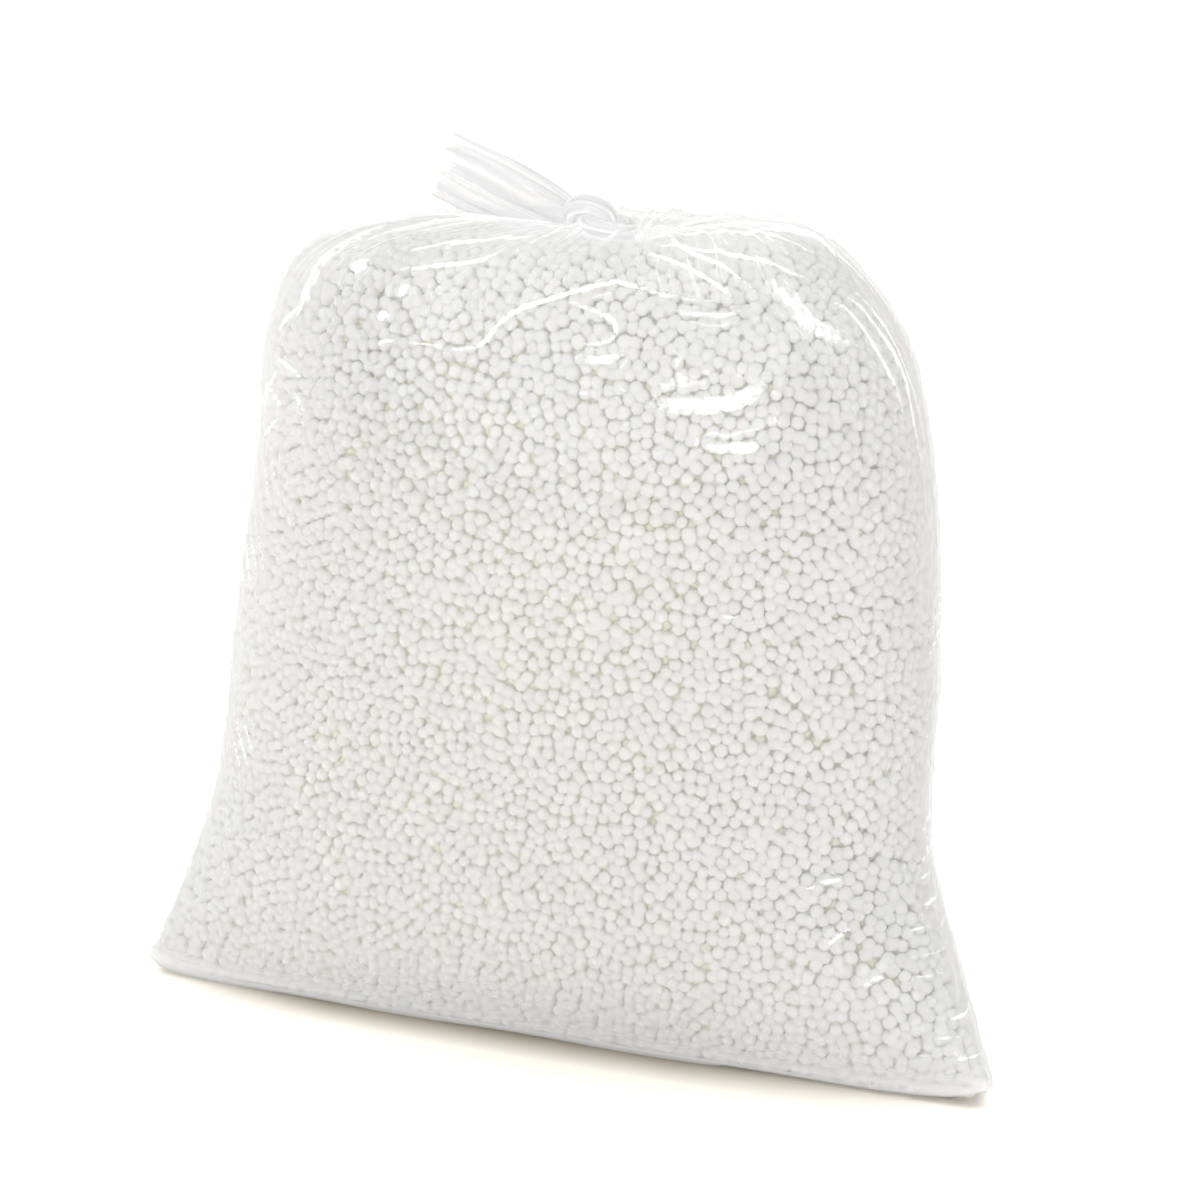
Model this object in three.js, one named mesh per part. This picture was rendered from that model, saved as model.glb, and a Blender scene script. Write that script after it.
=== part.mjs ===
// Bag of expanded polystyrene beads.
// A clear lay-flat film bag stands on its base, full of loose beads. Its straight bottom weld lies along
// the front edge of the base and ends in an ear at each side. Above the beads the film is gathered into
// a strand, the strand is tied in an overhand knot, and the open end fans out as a pleated tail.
// Millimetres, +Z up, front towards -Y, origin on the floor under the middle of the whole bag.
import * as THREE from 'three';

// Film and weld
const BAG_WIDTH = 384;          // lay-flat width, and the length of the weld from ear to ear
const FILM_WALL = 0.12;
const WELD_HEIGHT = 4;          // the weld line lies just clear of the floor
const WELD_FORWARD = 58;        // how far ahead of the bag's middle the weld line lies
const WELD_BOW = 4;             // forward bow of the weld line at its middle
const WELD_SIDE = 4;            // the weld lies a little to the right under the body
const EAR_LIFT = 6;             // rise of the ears above the middle of the weld
const BACK_AT_WELD = 72;        // reach of the back panel at the height of the weld

// Flat foot that the bag stands on, set in from the outline at the height of the weld
const FOOT_TUCK_SIDE = 28;
const FOOT_TUCK_FRONT = 10;
const FOOT_TUCK_BACK = 16;

// Filled body: each level's rise above the one below, its width, its depth, and how far it has slumped
// to the right of the middle
const HIP_RISE = 33;            // above the weld
const HIP_WIDTH = 359;
const HIP_FRONT = 75;
const HIP_BACK = 84;
const WAIST_RISE = 48;
const WAIST_WIDTH = 326;
const WAIST_FRONT = 79;
const WAIST_BACK = 83;
const WAIST_SIDE = -3.5;
const BELLY_RISE = 75;
const BELLY_WIDTH = 316;
const BELLY_DEPTH = 160;
const BELLY_SIDE = -2.5;
const CHEST_RISE = 83;
const CHEST_WIDTH = 293;
const CHEST_DEPTH = 154;
const CHEST_SIDE = 3;
const SHOULDER_RISE = 53;
const SHOULDER_WIDTH = 272;
const SHOULDER_DEPTH = 132;
const SHOULDER_SIDE = 0;

// Slack film above the beads
const BROW_RISE = 29;           // shoulder to the edge where the film turns in over the top
const BROW_WIDTH = 237;
const BROW_DEPTH = 109;
const BROW_SIDE = -3;
const CROWN_RISE = 13;          // brow to the flat top of the slack film
const CROWN_WIDTH = 172;
const CROWN_DEPTH = 74;
const CROWN_SIDE = 11;
const NECK_DIP = 5;             // crown down to the choke where the strand starts
const NECK_SIDE = 27;           // place of the choke beside the bag's middle
const NECK_FORWARD = 16;
const HEADSPACE = 16;           // crown to the top of the beads

// Neck strand, overhand knot and tail
const STRAND_DIAMETER = 7;
const STRAND_BORE = 1.6;        // channel left down the middle of the bunched film
const NECK_STEM = 7;            // straight strand between the choke and its bend
const NECK_PLUG = 6;            // bunched film that hangs down inside the choke
const KNOT_LEAN = 65;           // degrees that the knot leans over towards the front
const TAIL_LENGTH = 54;
const TAIL_WIDTH = 36;
const TAIL_DEPTH = 16;
const TAIL_RISE = 17;           // degrees above level

// Beads
const BEAD_DIAMETER = 6;
const FILL_CLEARANCE = 0.3;     // beads to film

// Facets
const RING_POINTS = 56;         // round the body, a ridge and a valley for each of 28 pleats
const STRAND_POINTS = 12;
const TAIL_POINTS = 42;
const RING_STEP = 19;           // along the film, from weld to neck
const STRAND_STEP = 3.6;
const TAIL_STEPS = 7;

const TAU = 2 * Math.PI;

// Repeatable stream of numbers from 0 to 1
function seededRandom(seed) {
  let state = seed;
  return () => {
    state = (state * 16807) % 2147483647;
    return state / 2147483647;
  };
}

// Heights of the named levels
const hipHeight = WELD_HEIGHT + HIP_RISE;
const waistHeight = hipHeight + WAIST_RISE;
const bellyHeight = waistHeight + BELLY_RISE;
const chestHeight = bellyHeight + CHEST_RISE;
const shoulderHeight = chestHeight + SHOULDER_RISE;
const browHeight = shoulderHeight + BROW_RISE;
const crownHeight = browHeight + CROWN_RISE;
const neckHeight = crownHeight - NECK_DIP;
const strandRadius = STRAND_DIAMETER / 2;

// One level of the body: height, place and half width across, reach to front and back, place of the side
// fold, rise of the ears, and how square the front and back halves of the outline are
const LEVEL_FIELDS = ['z', 'side', 'half', 'front', 'back', 'fold', 'lift', 'squareFront', 'squareBack'];

const weld = {
  z: WELD_HEIGHT,
  side: WELD_SIDE,
  half: BAG_WIDTH / 2,
  front: WELD_FORWARD + WELD_BOW,
  back: BACK_AT_WELD,
  fold: -WELD_FORWARD,
  lift: EAR_LIFT,
  squareFront: 2.6,
  squareBack: 1.7,
};
const foot = {
  ...weld,
  z: 0,
  half: weld.half - FOOT_TUCK_SIDE,
  front: weld.front - FOOT_TUCK_FRONT,
  back: weld.back - FOOT_TUCK_BACK,
  fold: weld.fold + FOOT_TUCK_FRONT,
  lift: 0,
};
const hip = {
  z: hipHeight,
  side: 0.3 * WELD_SIDE,
  half: HIP_WIDTH / 2,
  front: HIP_FRONT,
  back: HIP_BACK,
  fold: -0.75 * WELD_FORWARD,
  lift: 0,
  squareFront: 2.2,
  squareBack: 1.9,
};
const waist = {
  z: waistHeight,
  side: WAIST_SIDE,
  half: WAIST_WIDTH / 2,
  front: WAIST_FRONT,
  back: WAIST_BACK,
  fold: -0.35 * WELD_FORWARD,
  lift: 0,
  squareFront: 2.2,
  squareBack: 2.1,
};

// A level whose front and back halves are alike, about a middle that may lie to one side and forward
function evenLevel(z, width, depth, square, side, forward = 0) {
  return {
    z,
    side,
    half: width / 2,
    front: depth / 2 + forward,
    back: depth / 2 - forward,
    fold: -forward,
    lift: 0,
    squareFront: square,
    squareBack: square,
  };
}

const crownForward = 0.2 * NECK_FORWARD;
const crown = evenLevel(crownHeight, CROWN_WIDTH, CROWN_DEPTH, 2.2, CROWN_SIDE, crownForward);
const neck = evenLevel(neckHeight, STRAND_DIAMETER, STRAND_DIAMETER, 2, NECK_SIDE, NECK_FORWARD);

// Between the crown and the neck, where the gathered film runs in nearly level
function collarLevel(share) {
  const mixed = LEVEL_FIELDS.map((field) => [field, THREE.MathUtils.lerp(crown[field], neck[field], share)]);
  return { ...Object.fromEntries(mixed), z: crownHeight + 0.3 * NECK_DIP };
}

const wallLevels = [
  weld,
  hip,
  waist,
  evenLevel(bellyHeight, BELLY_WIDTH, BELLY_DEPTH, 2.2, BELLY_SIDE),
  evenLevel(chestHeight, CHEST_WIDTH, CHEST_DEPTH, 2.4, CHEST_SIDE),
  evenLevel(shoulderHeight, SHOULDER_WIDTH, SHOULDER_DEPTH, 2.6, SHOULDER_SIDE),
  evenLevel(browHeight, BROW_WIDTH, BROW_DEPTH, 2.4, BROW_SIDE),
  crown,
  collarLevel(0.6),
  neck,
];

// Smooth run of levels from the weld up to the neck, measured along the side outline
const stations = [0];
for (let i = 1; i < wallLevels.length; i += 1) {
  const rise = wallLevels[i].z - wallLevels[i - 1].z;
  const inward = wallLevels[i].half - wallLevels[i - 1].half;
  stations.push(stations[i - 1] + Math.hypot(rise, inward));
}
const wallLength = stations.at(-1);
const wallCurve = new THREE.CubicInterpolant(
  stations,
  wallLevels.flatMap((level) => LEVEL_FIELDS.map((field) => level[field])),
  LEVEL_FIELDS.length,
);

function levelAt(distance) {
  const values = wallCurve.evaluate(distance);
  return Object.fromEntries(LEVEL_FIELDS.map((field, i) => [field, values[i]]));
}

const EAR_SHARPNESS = 14;       // how near the tips the ears start to rise

// Point of a level's outline at an angle from +X: two half outlines that meet at the side folds
function outlinePoint(level, angle) {
  const across = Math.cos(angle);
  const along = Math.sin(angle);
  const square = along < 0 ? level.squareFront : level.squareBack;
  const reach = along < 0 ? level.front + level.fold : level.back - level.fold;
  const x = level.half * Math.sign(across) * Math.abs(across) ** (2 / square);
  const y = level.fold + reach * Math.sign(along) * Math.abs(along) ** (2 / square);
  const z = level.z + level.lift * Math.abs(x / level.half) ** EAR_SHARPNESS;
  return new THREE.Vector3(level.side + x, y, z);
}

function outlineRing(level, count) {
  return Array.from({ length: count }, (_, i) => outlinePoint(level, (TAU * i) / count));
}

function ringLength(ring) {
  return ring.reduce((sum, point, i) => sum + point.distanceTo(ring[(i + 1) % ring.length]), 0);
}

// Depth of a pleat that takes up the film left over where the outline is shorter than the bag's girth
function pleatDepth(outlineLength, pleats) {
  const filmHalf = BAG_WIDTH / pleats;
  const outlineHalf = Math.min(outlineLength / pleats / 2, filmHalf);
  return Math.sqrt(filmHalf ** 2 - outlineHalf ** 2);
}

// Depth of the pleats at a level: none below the belly, where the beads fill the film out
function slackDepth(level) {
  if (level.z < bellyHeight) return 0;
  return pleatDepth(ringLength(outlineRing(level, RING_POINTS)), RING_POINTS / 2);
}

// Share of its full depth that each pleat takes, so that no two folds are alike
const PLEAT_SHARE_LEAST = 0.1;
const PLEAT_SHARE_MOST = 0.8;
const PLEAT_SLIMNESS = 1.3;     // no valley is deeper than this many widths of its own pleat

function pleatShares(count, seed) {
  const random = seededRandom(seed);
  const spread = PLEAT_SHARE_MOST - PLEAT_SHARE_LEAST;
  return Array.from({ length: count }, () => PLEAT_SHARE_LEAST + spread * random());
}

// Folds every second point of a ring into the bag, along the way in that is given for it
function pleatRing(ring, depth, shares, wayIn) {
  return ring.map((point, i) => {
    if (i % 2 === 0) return point;
    const width = ring[i - 1].distanceTo(ring[(i + 1) % ring.length]);
    const fold = Math.min(depth * shares[(i - 1) / 2], PLEAT_SLIMNESS * width);
    return point.clone().addScaledVector(wayIn(point), fold);
  });
}

// Film of the body and shoulders, from the foot up to the last ring below the neck
const bodyShares = pleatShares(RING_POINTS / 2, 23);
const wallSteps = Math.round(wallLength / RING_STEP);

// The way in is level across the sides, and turns down where the top closes over
function wallRing(distance) {
  const level = levelAt(distance);
  const centre = new THREE.Vector3(level.side, level.fold, 0);
  const below = levelAt(Math.max(distance - 1, 0));
  const above = levelAt(Math.min(distance + 1, wallLength));
  const slope = new THREE.Vector2(above.z - below.z, below.half - above.half).normalize();
  const wayIn = (point) => centre.clone().sub(point).setZ(0).setLength(slope.x).setZ(-slope.y);
  return pleatRing(outlineRing(level, RING_POINTS), slackDepth(level), bodyShares, wayIn);
}

function bodyRings() {
  const rings = [outlineRing(foot, RING_POINTS)];
  for (let i = 0; i < wallSteps; i += 1) rings.push(wallRing((wallLength * i) / wallSteps));
  return rings;
}

// Overhand knot: a trefoil laid round the tail's direction, cut open at its lowest lobe
const KNOT_RING = 1.2 * STRAND_DIAMETER;
const KNOT_TUBE = 0.57 * STRAND_DIAMETER;
const KNOT_LEAD = 1.9 * STRAND_DIAMETER;   // straight strand on each side of the knot's middle
const KNOT_STEPS = 48;
const NECK_BEND_STEPS = 4;

const neckPoint = new THREE.Vector3(NECK_SIDE, -NECK_FORWARD, neckHeight);
const tailAngle = THREE.MathUtils.degToRad(TAIL_RISE);
const tailWay = new THREE.Vector3(-Math.cos(tailAngle), 0, Math.sin(tailAngle));
const tailSide = new THREE.Vector3(Math.sin(tailAngle), 0, Math.cos(tailAngle));
const tailFace = new THREE.Vector3().crossVectors(tailWay, tailSide);

function knotPoint(middle, turn) {
  const lean = THREE.MathUtils.degToRad(KNOT_LEAN);
  const lobeWay = tailSide.clone().multiplyScalar(Math.cos(lean));
  lobeWay.addScaledVector(tailFace, -Math.sin(lean));
  const axis = new THREE.Vector3().crossVectors(tailWay, lobeWay);
  const firstCrossing = Math.PI / 3;
  const heldTurn = THREE.MathUtils.clamp(turn, firstCrossing, 2 * TAU - firstCrossing);
  const radius = KNOT_RING + KNOT_TUBE * Math.cos(1.5 * turn);
  return middle.clone()
    .addScaledVector(tailWay, radius * Math.sin(turn))
    .addScaledVector(lobeWay, -radius * Math.cos(turn) + KNOT_RING + KNOT_TUBE)
    .addScaledVector(axis, KNOT_TUBE * (Math.sin(1.5 * heldTurn) - 1));
}

// Spine of the strand: up out of the choke, over into the tail's direction, round the knot and out
function strandSpine() {
  const bendRadius = 1.15 * STRAND_DIAMETER;
  const bendAngle = Math.PI / 2 - tailAngle;
  const bendStart = neckPoint.clone().setZ(neckHeight + NECK_STEM);
  const points = [neckPoint.clone(), bendStart];
  for (let i = 1; i <= NECK_BEND_STEPS; i += 1) {
    const angle = (bendAngle * i) / NECK_BEND_STEPS;
    points.push(bendStart.clone()
      .add(new THREE.Vector3(-bendRadius * (1 - Math.cos(angle)), 0, bendRadius * Math.sin(angle))));
  }
  const knotMiddle = points.at(-1).clone().addScaledVector(tailWay, KNOT_LEAD);
  for (let i = 0; i <= KNOT_STEPS; i += 1) points.push(knotPoint(knotMiddle, (2 * TAU * i) / KNOT_STEPS));
  points.push(points.at(-1).clone().addScaledVector(tailWay, KNOT_LEAD));
  return new THREE.CatmullRomCurve3(points, false, 'centripetal');
}

// Axes that follow a curve without spinning, then turn evenly so that the last one lies along `lastAxis`
function strandFrames(curve, steps, firstAxis, lastAxis) {
  const frames = [];
  let axis = firstAxis.clone();
  for (let i = 0; i <= steps; i += 1) {
    const way = curve.getTangentAt(i / steps);
    axis = axis.clone().addScaledVector(way, -axis.dot(way)).normalize();
    frames.push({ point: curve.getPointAt(i / steps), way, axis });
  }
  const last = frames[steps];
  const across = new THREE.Vector3().crossVectors(last.way, last.axis);
  const twist = Math.atan2(lastAxis.dot(across), lastAxis.dot(last.axis));
  frames.forEach((frame, i) => {
    frame.axis.applyAxisAngle(frame.way, (twist * i) / steps);
    frame.across = new THREE.Vector3().crossVectors(frame.way, frame.axis);
  });
  return frames;
}

// Ring across a strand; radiiAt gives the radii along and across the frame's axis at each point
function frameRing(frame, count, radiiAt) {
  return Array.from({ length: count }, (_, i) => {
    const angle = (TAU * i) / count;
    const [along, across] = radiiAt(i);
    return frame.point.clone()
      .addScaledVector(frame.axis, along * Math.cos(angle))
      .addScaledVector(frame.across, across * Math.sin(angle));
  });
}

const STRAND_GROOVE = 0.2;      // depth of the strand's creases, as a share of its radius
const spine = strandSpine();
const strandSteps = Math.round(spine.getLength() / STRAND_STEP);
const strandPath = strandFrames(spine, strandSteps, new THREE.Vector3(1, 0, 0), tailSide);

function strandRing(frame) {
  const creased = strandRadius * (1 - STRAND_GROOVE);
  return frameRing(frame, STRAND_POINTS, (i) => {
    const radius = i % 2 ? creased : strandRadius;
    return [radius, radius];
  });
}

function boreRing(frame) {
  const radius = STRAND_BORE / 2;
  return frameRing(frame, STRAND_POINTS, () => [radius, radius]);
}

function plugRing() {
  const plug = neckPoint.clone().setZ(neckHeight - NECK_PLUG);
  return boreRing({ ...strandPath[0], point: plug });
}

// Tail: the strand opens out into a flat pleated fan with an uneven mouth
const MOUTH_UNEVEN = 4;
const tailShares = pleatShares(TAIL_POINTS / 2, 71);

function tailRing(share) {
  const start = strandPath[strandSteps];
  const opened = share ** 0.8;
  const half = THREE.MathUtils.lerp(strandRadius, TAIL_WIDTH / 2, opened);
  const thick = THREE.MathUtils.lerp(strandRadius, TAIL_DEPTH / 2, opened);
  const centre = start.point.clone().addScaledVector(tailWay, TAIL_LENGTH * share);
  const fan = frameRing({ ...start, point: centre }, TAIL_POINTS, () => [half, thick]);
  const wayIn = (point) => centre.clone().sub(point).normalize();
  return pleatRing(fan, opened * thick, tailShares, wayIn).map((point, i) => {
    const ragged = MOUTH_UNEVEN * opened * (tailShares[Math.floor(i / 2)] - PLEAT_SHARE_MOST);
    return point.addScaledVector(tailWay, ragged);
  });
}

const LONGEST_MITRE = 2.5;        // reach of the inner wall at a sharp crease, in film walls

// A closed surface grown ring by ring; each new ring is stitched to the one before it
class RingSurface {
  constructor() {
    this.points = [];
    this.triangles = [];
    this.last = null;
  }

  addPoint(point) {
    this.points.push(point);
    return this.points.length - 1;
  }

  start(centre) {
    this.firstCentre = this.addPoint(centre);
  }

  // An inside ring is stitched by the same diagonals as the outside, so that the two walls stay parallel
  ring(points, inside = false) {
    const ids = points.map((point) => this.addPoint(point));
    if (this.last) this.stitch(this.last, ids, inside);
    else ids.forEach((id, i) => this.triangles.push(this.firstCentre, ids[(i + 1) % ids.length], id));
    this.last = ids;
    return ids;
  }

  // Joins two rings, which may have different numbers of points
  stitch(lower, upper, inside) {
    let i = 0;
    let j = 0;
    while (i < lower.length || j < upper.length) {
      const a = lower[i % lower.length];
      const b = upper[j % upper.length];
      const nextLower = (i + 1) / lower.length;
      const nextUpper = (j + 1) / upper.length;
      const lowerIsNext = inside ? nextLower < nextUpper : nextLower <= nextUpper;
      if (i < lower.length && (j === upper.length || lowerIsNext)) {
        this.triangles.push(a, lower[(i + 1) % lower.length], b);
        i += 1;
      } else {
        this.triangles.push(a, upper[(j + 1) % upper.length], b);
        j += 1;
      }
    }
  }

  finish(centre) {
    const id = this.addPoint(centre);
    this.last.forEach((a, i) => this.triangles.push(a, this.last[(i + 1) % this.last.length], id));
  }

  geometry() {
    const geometry = new THREE.BufferGeometry();
    const numbers = this.points.flatMap((point) => point.toArray());
    geometry.setAttribute('position', new THREE.Float32BufferAttribute(numbers, 3));
    geometry.setIndex(this.triangles);
    geometry.computeVertexNormals();
    return geometry;
  }

  // How far each point moves in along its normal for all the faces round it to move by the film's wall
  wallReach(normals) {
    const faceNormal = new THREE.Vector3();
    const pointNormal = new THREE.Vector3();
    const leastCosine = this.points.map(() => 1);
    for (let i = 0; i < this.triangles.length; i += 3) {
      const ids = this.triangles.slice(i, i + 3);
      THREE.Triangle.getNormal(...ids.map((id) => this.points[id]), faceNormal);
      ids.forEach((id) => {
        const cosine = pointNormal.fromBufferAttribute(normals, id).dot(faceNormal);
        leastCosine[id] = Math.min(leastCosine[id], Math.max(cosine, 1 / LONGEST_MITRE));
      });
    }
    return leastCosine.map((cosine) => FILM_WALL / cosine);
  }

  // Rings moved in from the surface by the film's wall
  innerRings(rings) {
    const normals = this.geometry().getAttribute('normal');
    const reach = this.wallReach(normals);
    return rings.map((ids) => ids.map((id) => {
      const normal = new THREE.Vector3().fromBufferAttribute(normals, id);
      return this.points[id].clone().addScaledVector(normal, -reach[id]);
    }));
  }
}

function footCentre(height) {
  return new THREE.Vector3(foot.side, (foot.back - foot.front) / 2, height);
}

// Film: up the outside to the mouth of the tail, then back down the inside to the base
function filmGeometry() {
  const film = new RingSurface();
  film.start(footCentre(0));
  const bodyIds = bodyRings().map((ring) => film.ring(ring));
  strandPath.forEach((frame) => film.ring(strandRing(frame)));
  const tailIds = [];
  for (let i = 1; i <= TAIL_STEPS; i += 1) tailIds.push(film.ring(tailRing(i / TAIL_STEPS)));
  const tailInside = film.innerRings(tailIds).reverse();
  const bodyInside = film.innerRings(bodyIds).reverse();
  tailInside.forEach((ring, i) => film.ring(ring, i > 0));
  [...strandPath].reverse().forEach((frame) => film.ring(boreRing(frame), true));
  film.ring(plugRing(), true);
  bodyInside.forEach((ring) => film.ring(ring, true));
  film.finish(footCentre(FILM_WALL));
  return film.geometry();
}

// Beads: the space inside the film up to the shoulder, then a blunt dome. The surface is lumpy: clumps of
// beads lie like bricks from ring to ring, with hollows between them that fade out at the side folds
const DOME_STEPS = 5;
const HOLLOW_SHARE = 0.55;      // depth of a hollow, as a share of the space between two points of its ring
const HOLLOW_FADE = 2;
const BEAD_UNEVEN = 0.2;

function fillRing(level, inset) {
  const slim = {
    ...level,
    z: level.z + FILM_WALL + FILL_CLEARANCE,
    half: level.half - inset,
    front: level.front - inset,
    back: level.back - inset,
    fold: level.fold + inset / 2,
  };
  return outlineRing(slim, RING_POINTS);
}

function lumpyRing(ring, row, random) {
  const hollow = (HOLLOW_SHARE * ringLength(ring)) / RING_POINTS;
  return ring.map((point, i) => {
    const along = ring[(i + 1) % RING_POINTS].clone().sub(ring.at(i - 1)).setZ(0).normalize();
    const inward = new THREE.Vector3(-along.y, along.x, 0);
    const fade = Math.min(1, HOLLOW_FADE * Math.abs(Math.sin((TAU * i) / RING_POINTS)));
    const depth = ((i + row) % 2) * hollow + BEAD_UNEVEN * BEAD_DIAMETER * random();
    return point.clone().addScaledVector(inward, fade * depth);
  });
}

function fillGeometry() {
  const random = seededRandom(5);
  const fill = new RingSurface();
  const skin = FILM_WALL + 3 * FILL_CLEARANCE;
  fill.start(footCentre(FILM_WALL + FILL_CLEARANCE));
  fill.ring(fillRing(foot, skin));
  let row = 0;
  const addLumpyRing = (level, inset) => {
    fill.ring(lumpyRing(fillRing(level, inset), row, random));
    row += 1;
  };
  let inset = skin;
  let shoulder = weld;
  for (let i = 0; i < wallSteps; i += 1) {
    const level = levelAt((wallLength * i) / wallSteps);
    if (level.z > shoulderHeight) break;
    inset = skin + PLEAT_SHARE_MOST * slackDepth(level);
    addLumpyRing(level, inset);
    shoulder = level;
  }
  const domeRise = crownHeight - HEADSPACE - shoulder.z;
  for (let i = 1; i <= DOME_STEPS; i += 1) {
    const angle = (Math.PI / 2) * (i / (DOME_STEPS + 1));
    const shrink = Math.cos(angle) ** 0.8;
    const level = {
      ...shoulder,
      z: shoulder.z + domeRise * Math.sin(angle),
      half: (shoulder.half - inset) * shrink,
      front: (shoulder.front - inset) * shrink,
      back: (shoulder.back - inset) * shrink,
    };
    addLumpyRing(level, 0);
  }
  fill.finish(new THREE.Vector3(shoulder.side, 0, shoulder.z + domeRise));
  return fill.geometry();
}

const filmMaterial = new THREE.MeshStandardMaterial({
  color: 0xf4f6f8, roughness: 0.12, metalness: 0, transparent: true, opacity: 0.3,
});
const beadMaterial = new THREE.MeshStandardMaterial({ color: 0xf3f3ec, roughness: 0.85, metalness: 0 });

function namedMesh(name, geometry, material) {
  const mesh = new THREE.Mesh(geometry, material);
  mesh.name = name;
  return mesh;
}

const bag = new THREE.Group();
bag.add(namedMesh('bag_film', filmGeometry(), filmMaterial));
bag.add(namedMesh('bead_fill', fillGeometry(), beadMaterial));

// Origin on the floor under the middle of the whole bag
const box = new THREE.Box3().setFromObject(bag);
const middle = box.getCenter(new THREE.Vector3());
bag.position.set(-middle.x, -middle.y, -box.min.z);

export default bag;
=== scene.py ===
"""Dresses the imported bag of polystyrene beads: loose beads, clear film with its knot, and the stage."""

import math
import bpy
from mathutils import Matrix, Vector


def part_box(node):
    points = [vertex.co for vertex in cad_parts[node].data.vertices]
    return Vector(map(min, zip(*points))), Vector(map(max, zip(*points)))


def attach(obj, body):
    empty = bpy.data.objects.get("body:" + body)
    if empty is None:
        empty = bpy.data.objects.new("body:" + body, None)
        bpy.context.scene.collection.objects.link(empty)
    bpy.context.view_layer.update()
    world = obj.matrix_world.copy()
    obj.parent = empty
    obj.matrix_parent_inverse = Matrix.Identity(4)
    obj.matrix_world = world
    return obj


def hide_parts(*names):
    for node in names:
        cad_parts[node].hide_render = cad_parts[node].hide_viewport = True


bl_info = {
    "name": "Bag of Polystyrene Beads",
    "version": (1, 0, 0),
    "blender": (4, 5, 0),
    "location": "3D View > Sidebar > Bead Bag",
    "description": "Makes the beads, the clear film bag and the studio stage round the packed bag",
    "category": "Object",
}

import bpy
import numpy as np
from bpy.props import FloatProperty, FloatVectorProperty, IntProperty, PointerProperty
from bpy.types import Operator, Panel, PropertyGroup
from mathutils import Vector
from mathutils.bvhtree import BVHTree

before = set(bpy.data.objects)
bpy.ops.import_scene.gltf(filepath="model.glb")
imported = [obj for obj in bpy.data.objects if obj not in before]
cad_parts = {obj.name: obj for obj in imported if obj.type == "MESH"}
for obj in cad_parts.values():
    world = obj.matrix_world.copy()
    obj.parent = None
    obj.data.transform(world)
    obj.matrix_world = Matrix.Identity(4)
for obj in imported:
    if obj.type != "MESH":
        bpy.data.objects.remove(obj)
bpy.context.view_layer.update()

MM = 0.001


# Settings

class BeadSettings(PropertyGroup):
    """Sizes and colour of the beads."""

    diameter: FloatProperty(
        name="Bead Diameter", description="Mean width of a bead", default=0.0056, min=0.002, unit="LENGTH")
    clearance: FloatProperty(
        name="Clearance", description="Gap between the beads and the film", default=0.0006, min=0.0,
        unit="LENGTH")
    settling: IntProperty(
        name="Settling", description="How many times the beads are pushed apart", default=36, min=0)
    unevenness: FloatProperty(
        name="Unevenness", description="How much the beads differ in width, as a share", default=0.085,
        min=0.0, max=0.3, subtype="FACTOR")
    seed: IntProperty(name="Seed", description="Changes where the beads lie", default=7)
    colour: FloatVectorProperty(
        name="Foam Colour", description="Colour of the foam", default=(0.98, 0.98, 0.962), size=3,
        subtype="COLOR", min=0.0, max=1.0)
    # Painted light: a lit copy of the foam colour, yellower, for the hidden beads and the core, standing in
    # for the light that reaches the gaps through the beads
    painted_gap_colour: FloatVectorProperty(
        name="Deep Colour", description="Colour of the foam behind, lit through the other beads",
        default=(0.985, 0.985, 0.84), size=3, subtype="COLOR", min=0.0, max=1.0)


class FilmSettings(PropertyGroup):
    """Sizes and finish of the film bag."""

    width: FloatProperty(
        name="Lay-flat Width", description="Width of the empty bag laid flat", default=0.384, unit="LENGTH")
    length: FloatProperty(
        name="Bag Length", description="Length of the empty bag laid flat", default=0.61, unit="LENGTH")
    gather_folds: IntProperty(
        name="Gather Folds", description="Folds that run in to the knot", default=44, min=8)
    crinkle: FloatProperty(
        name="Crinkle", description="Height of the small crinkles all over", default=0.0001, min=0.0,
        unit="LENGTH")
    weld_fin: FloatProperty(
        name="Weld Fin", description="Width of the bare film ahead of the weld", default=0.004, min=0.0005,
        unit="LENGTH")
    haze: FloatProperty(
        name="Haze", description="Share of light that one layer scatters", default=0.14, min=0.0, max=1.0,
        subtype="FACTOR")
    seed: IntProperty(name="Seed", description="Changes the folds and crinkles", default=11)


class StageSettings(PropertyGroup):
    """Camera and light."""

    azimuth: FloatProperty(
        name="Azimuth", description="Camera's turn to the right of the front", default=math.radians(20.1),
        subtype="ANGLE")
    elevation: FloatProperty(
        name="Elevation", description="Camera's angle above level", default=math.radians(16.08),
        subtype="ANGLE")
    distance: FloatProperty(
        name="Distance", description="Camera to target", default=1.0273, unit="LENGTH")
    target: FloatVectorProperty(
        name="Target", description="Point at the middle of the picture", default=(0.00407, 0.0, 0.17735),
        size=3, subtype="XYZ")
    lens: FloatProperty(name="Lens", description="Focal length in millimetres", default=72.0)
    floor: FloatVectorProperty(
        name="Floor Colour", description="Colour of the studio floor", default=(0.95, 0.918, 0.85), size=3,
        subtype="COLOR", min=0.0, max=1.0)


# Node trees

def add(tree, kind, links=None, **settings):
    """Adds a node; links maps its input names or numbers to values or to other nodes' outputs."""
    node = tree.nodes.new(kind)
    for name, value in settings.items():
        setattr(node, name, value)
    for key, value in (links or {}).items():
        socket = node.inputs[key]
        if isinstance(value, bpy.types.NodeSocket):
            tree.links.new(value, socket)
        else:
            socket.default_value = value
    return node


def math_node(tree, operation, a, b=None, c=None):
    """Output of a Math node."""
    links = {0: a}
    if b is not None:
        links[1] = b
    if c is not None:
        links[2] = c
    return add(tree, "ShaderNodeMath", links, operation=operation).outputs[0]


def vector_node(tree, operation, a, b=None, scale=None):
    """Output of a Vector Math node, a number where the operation gives one."""
    links = {0: a}
    if b is not None:
        links[1] = b
    if scale is not None:
        links["Scale"] = scale
    node = add(tree, "ShaderNodeVectorMath", links, operation=operation)
    return node.outputs["Value" if operation == "DOT_PRODUCT" else "Vector"]


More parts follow.
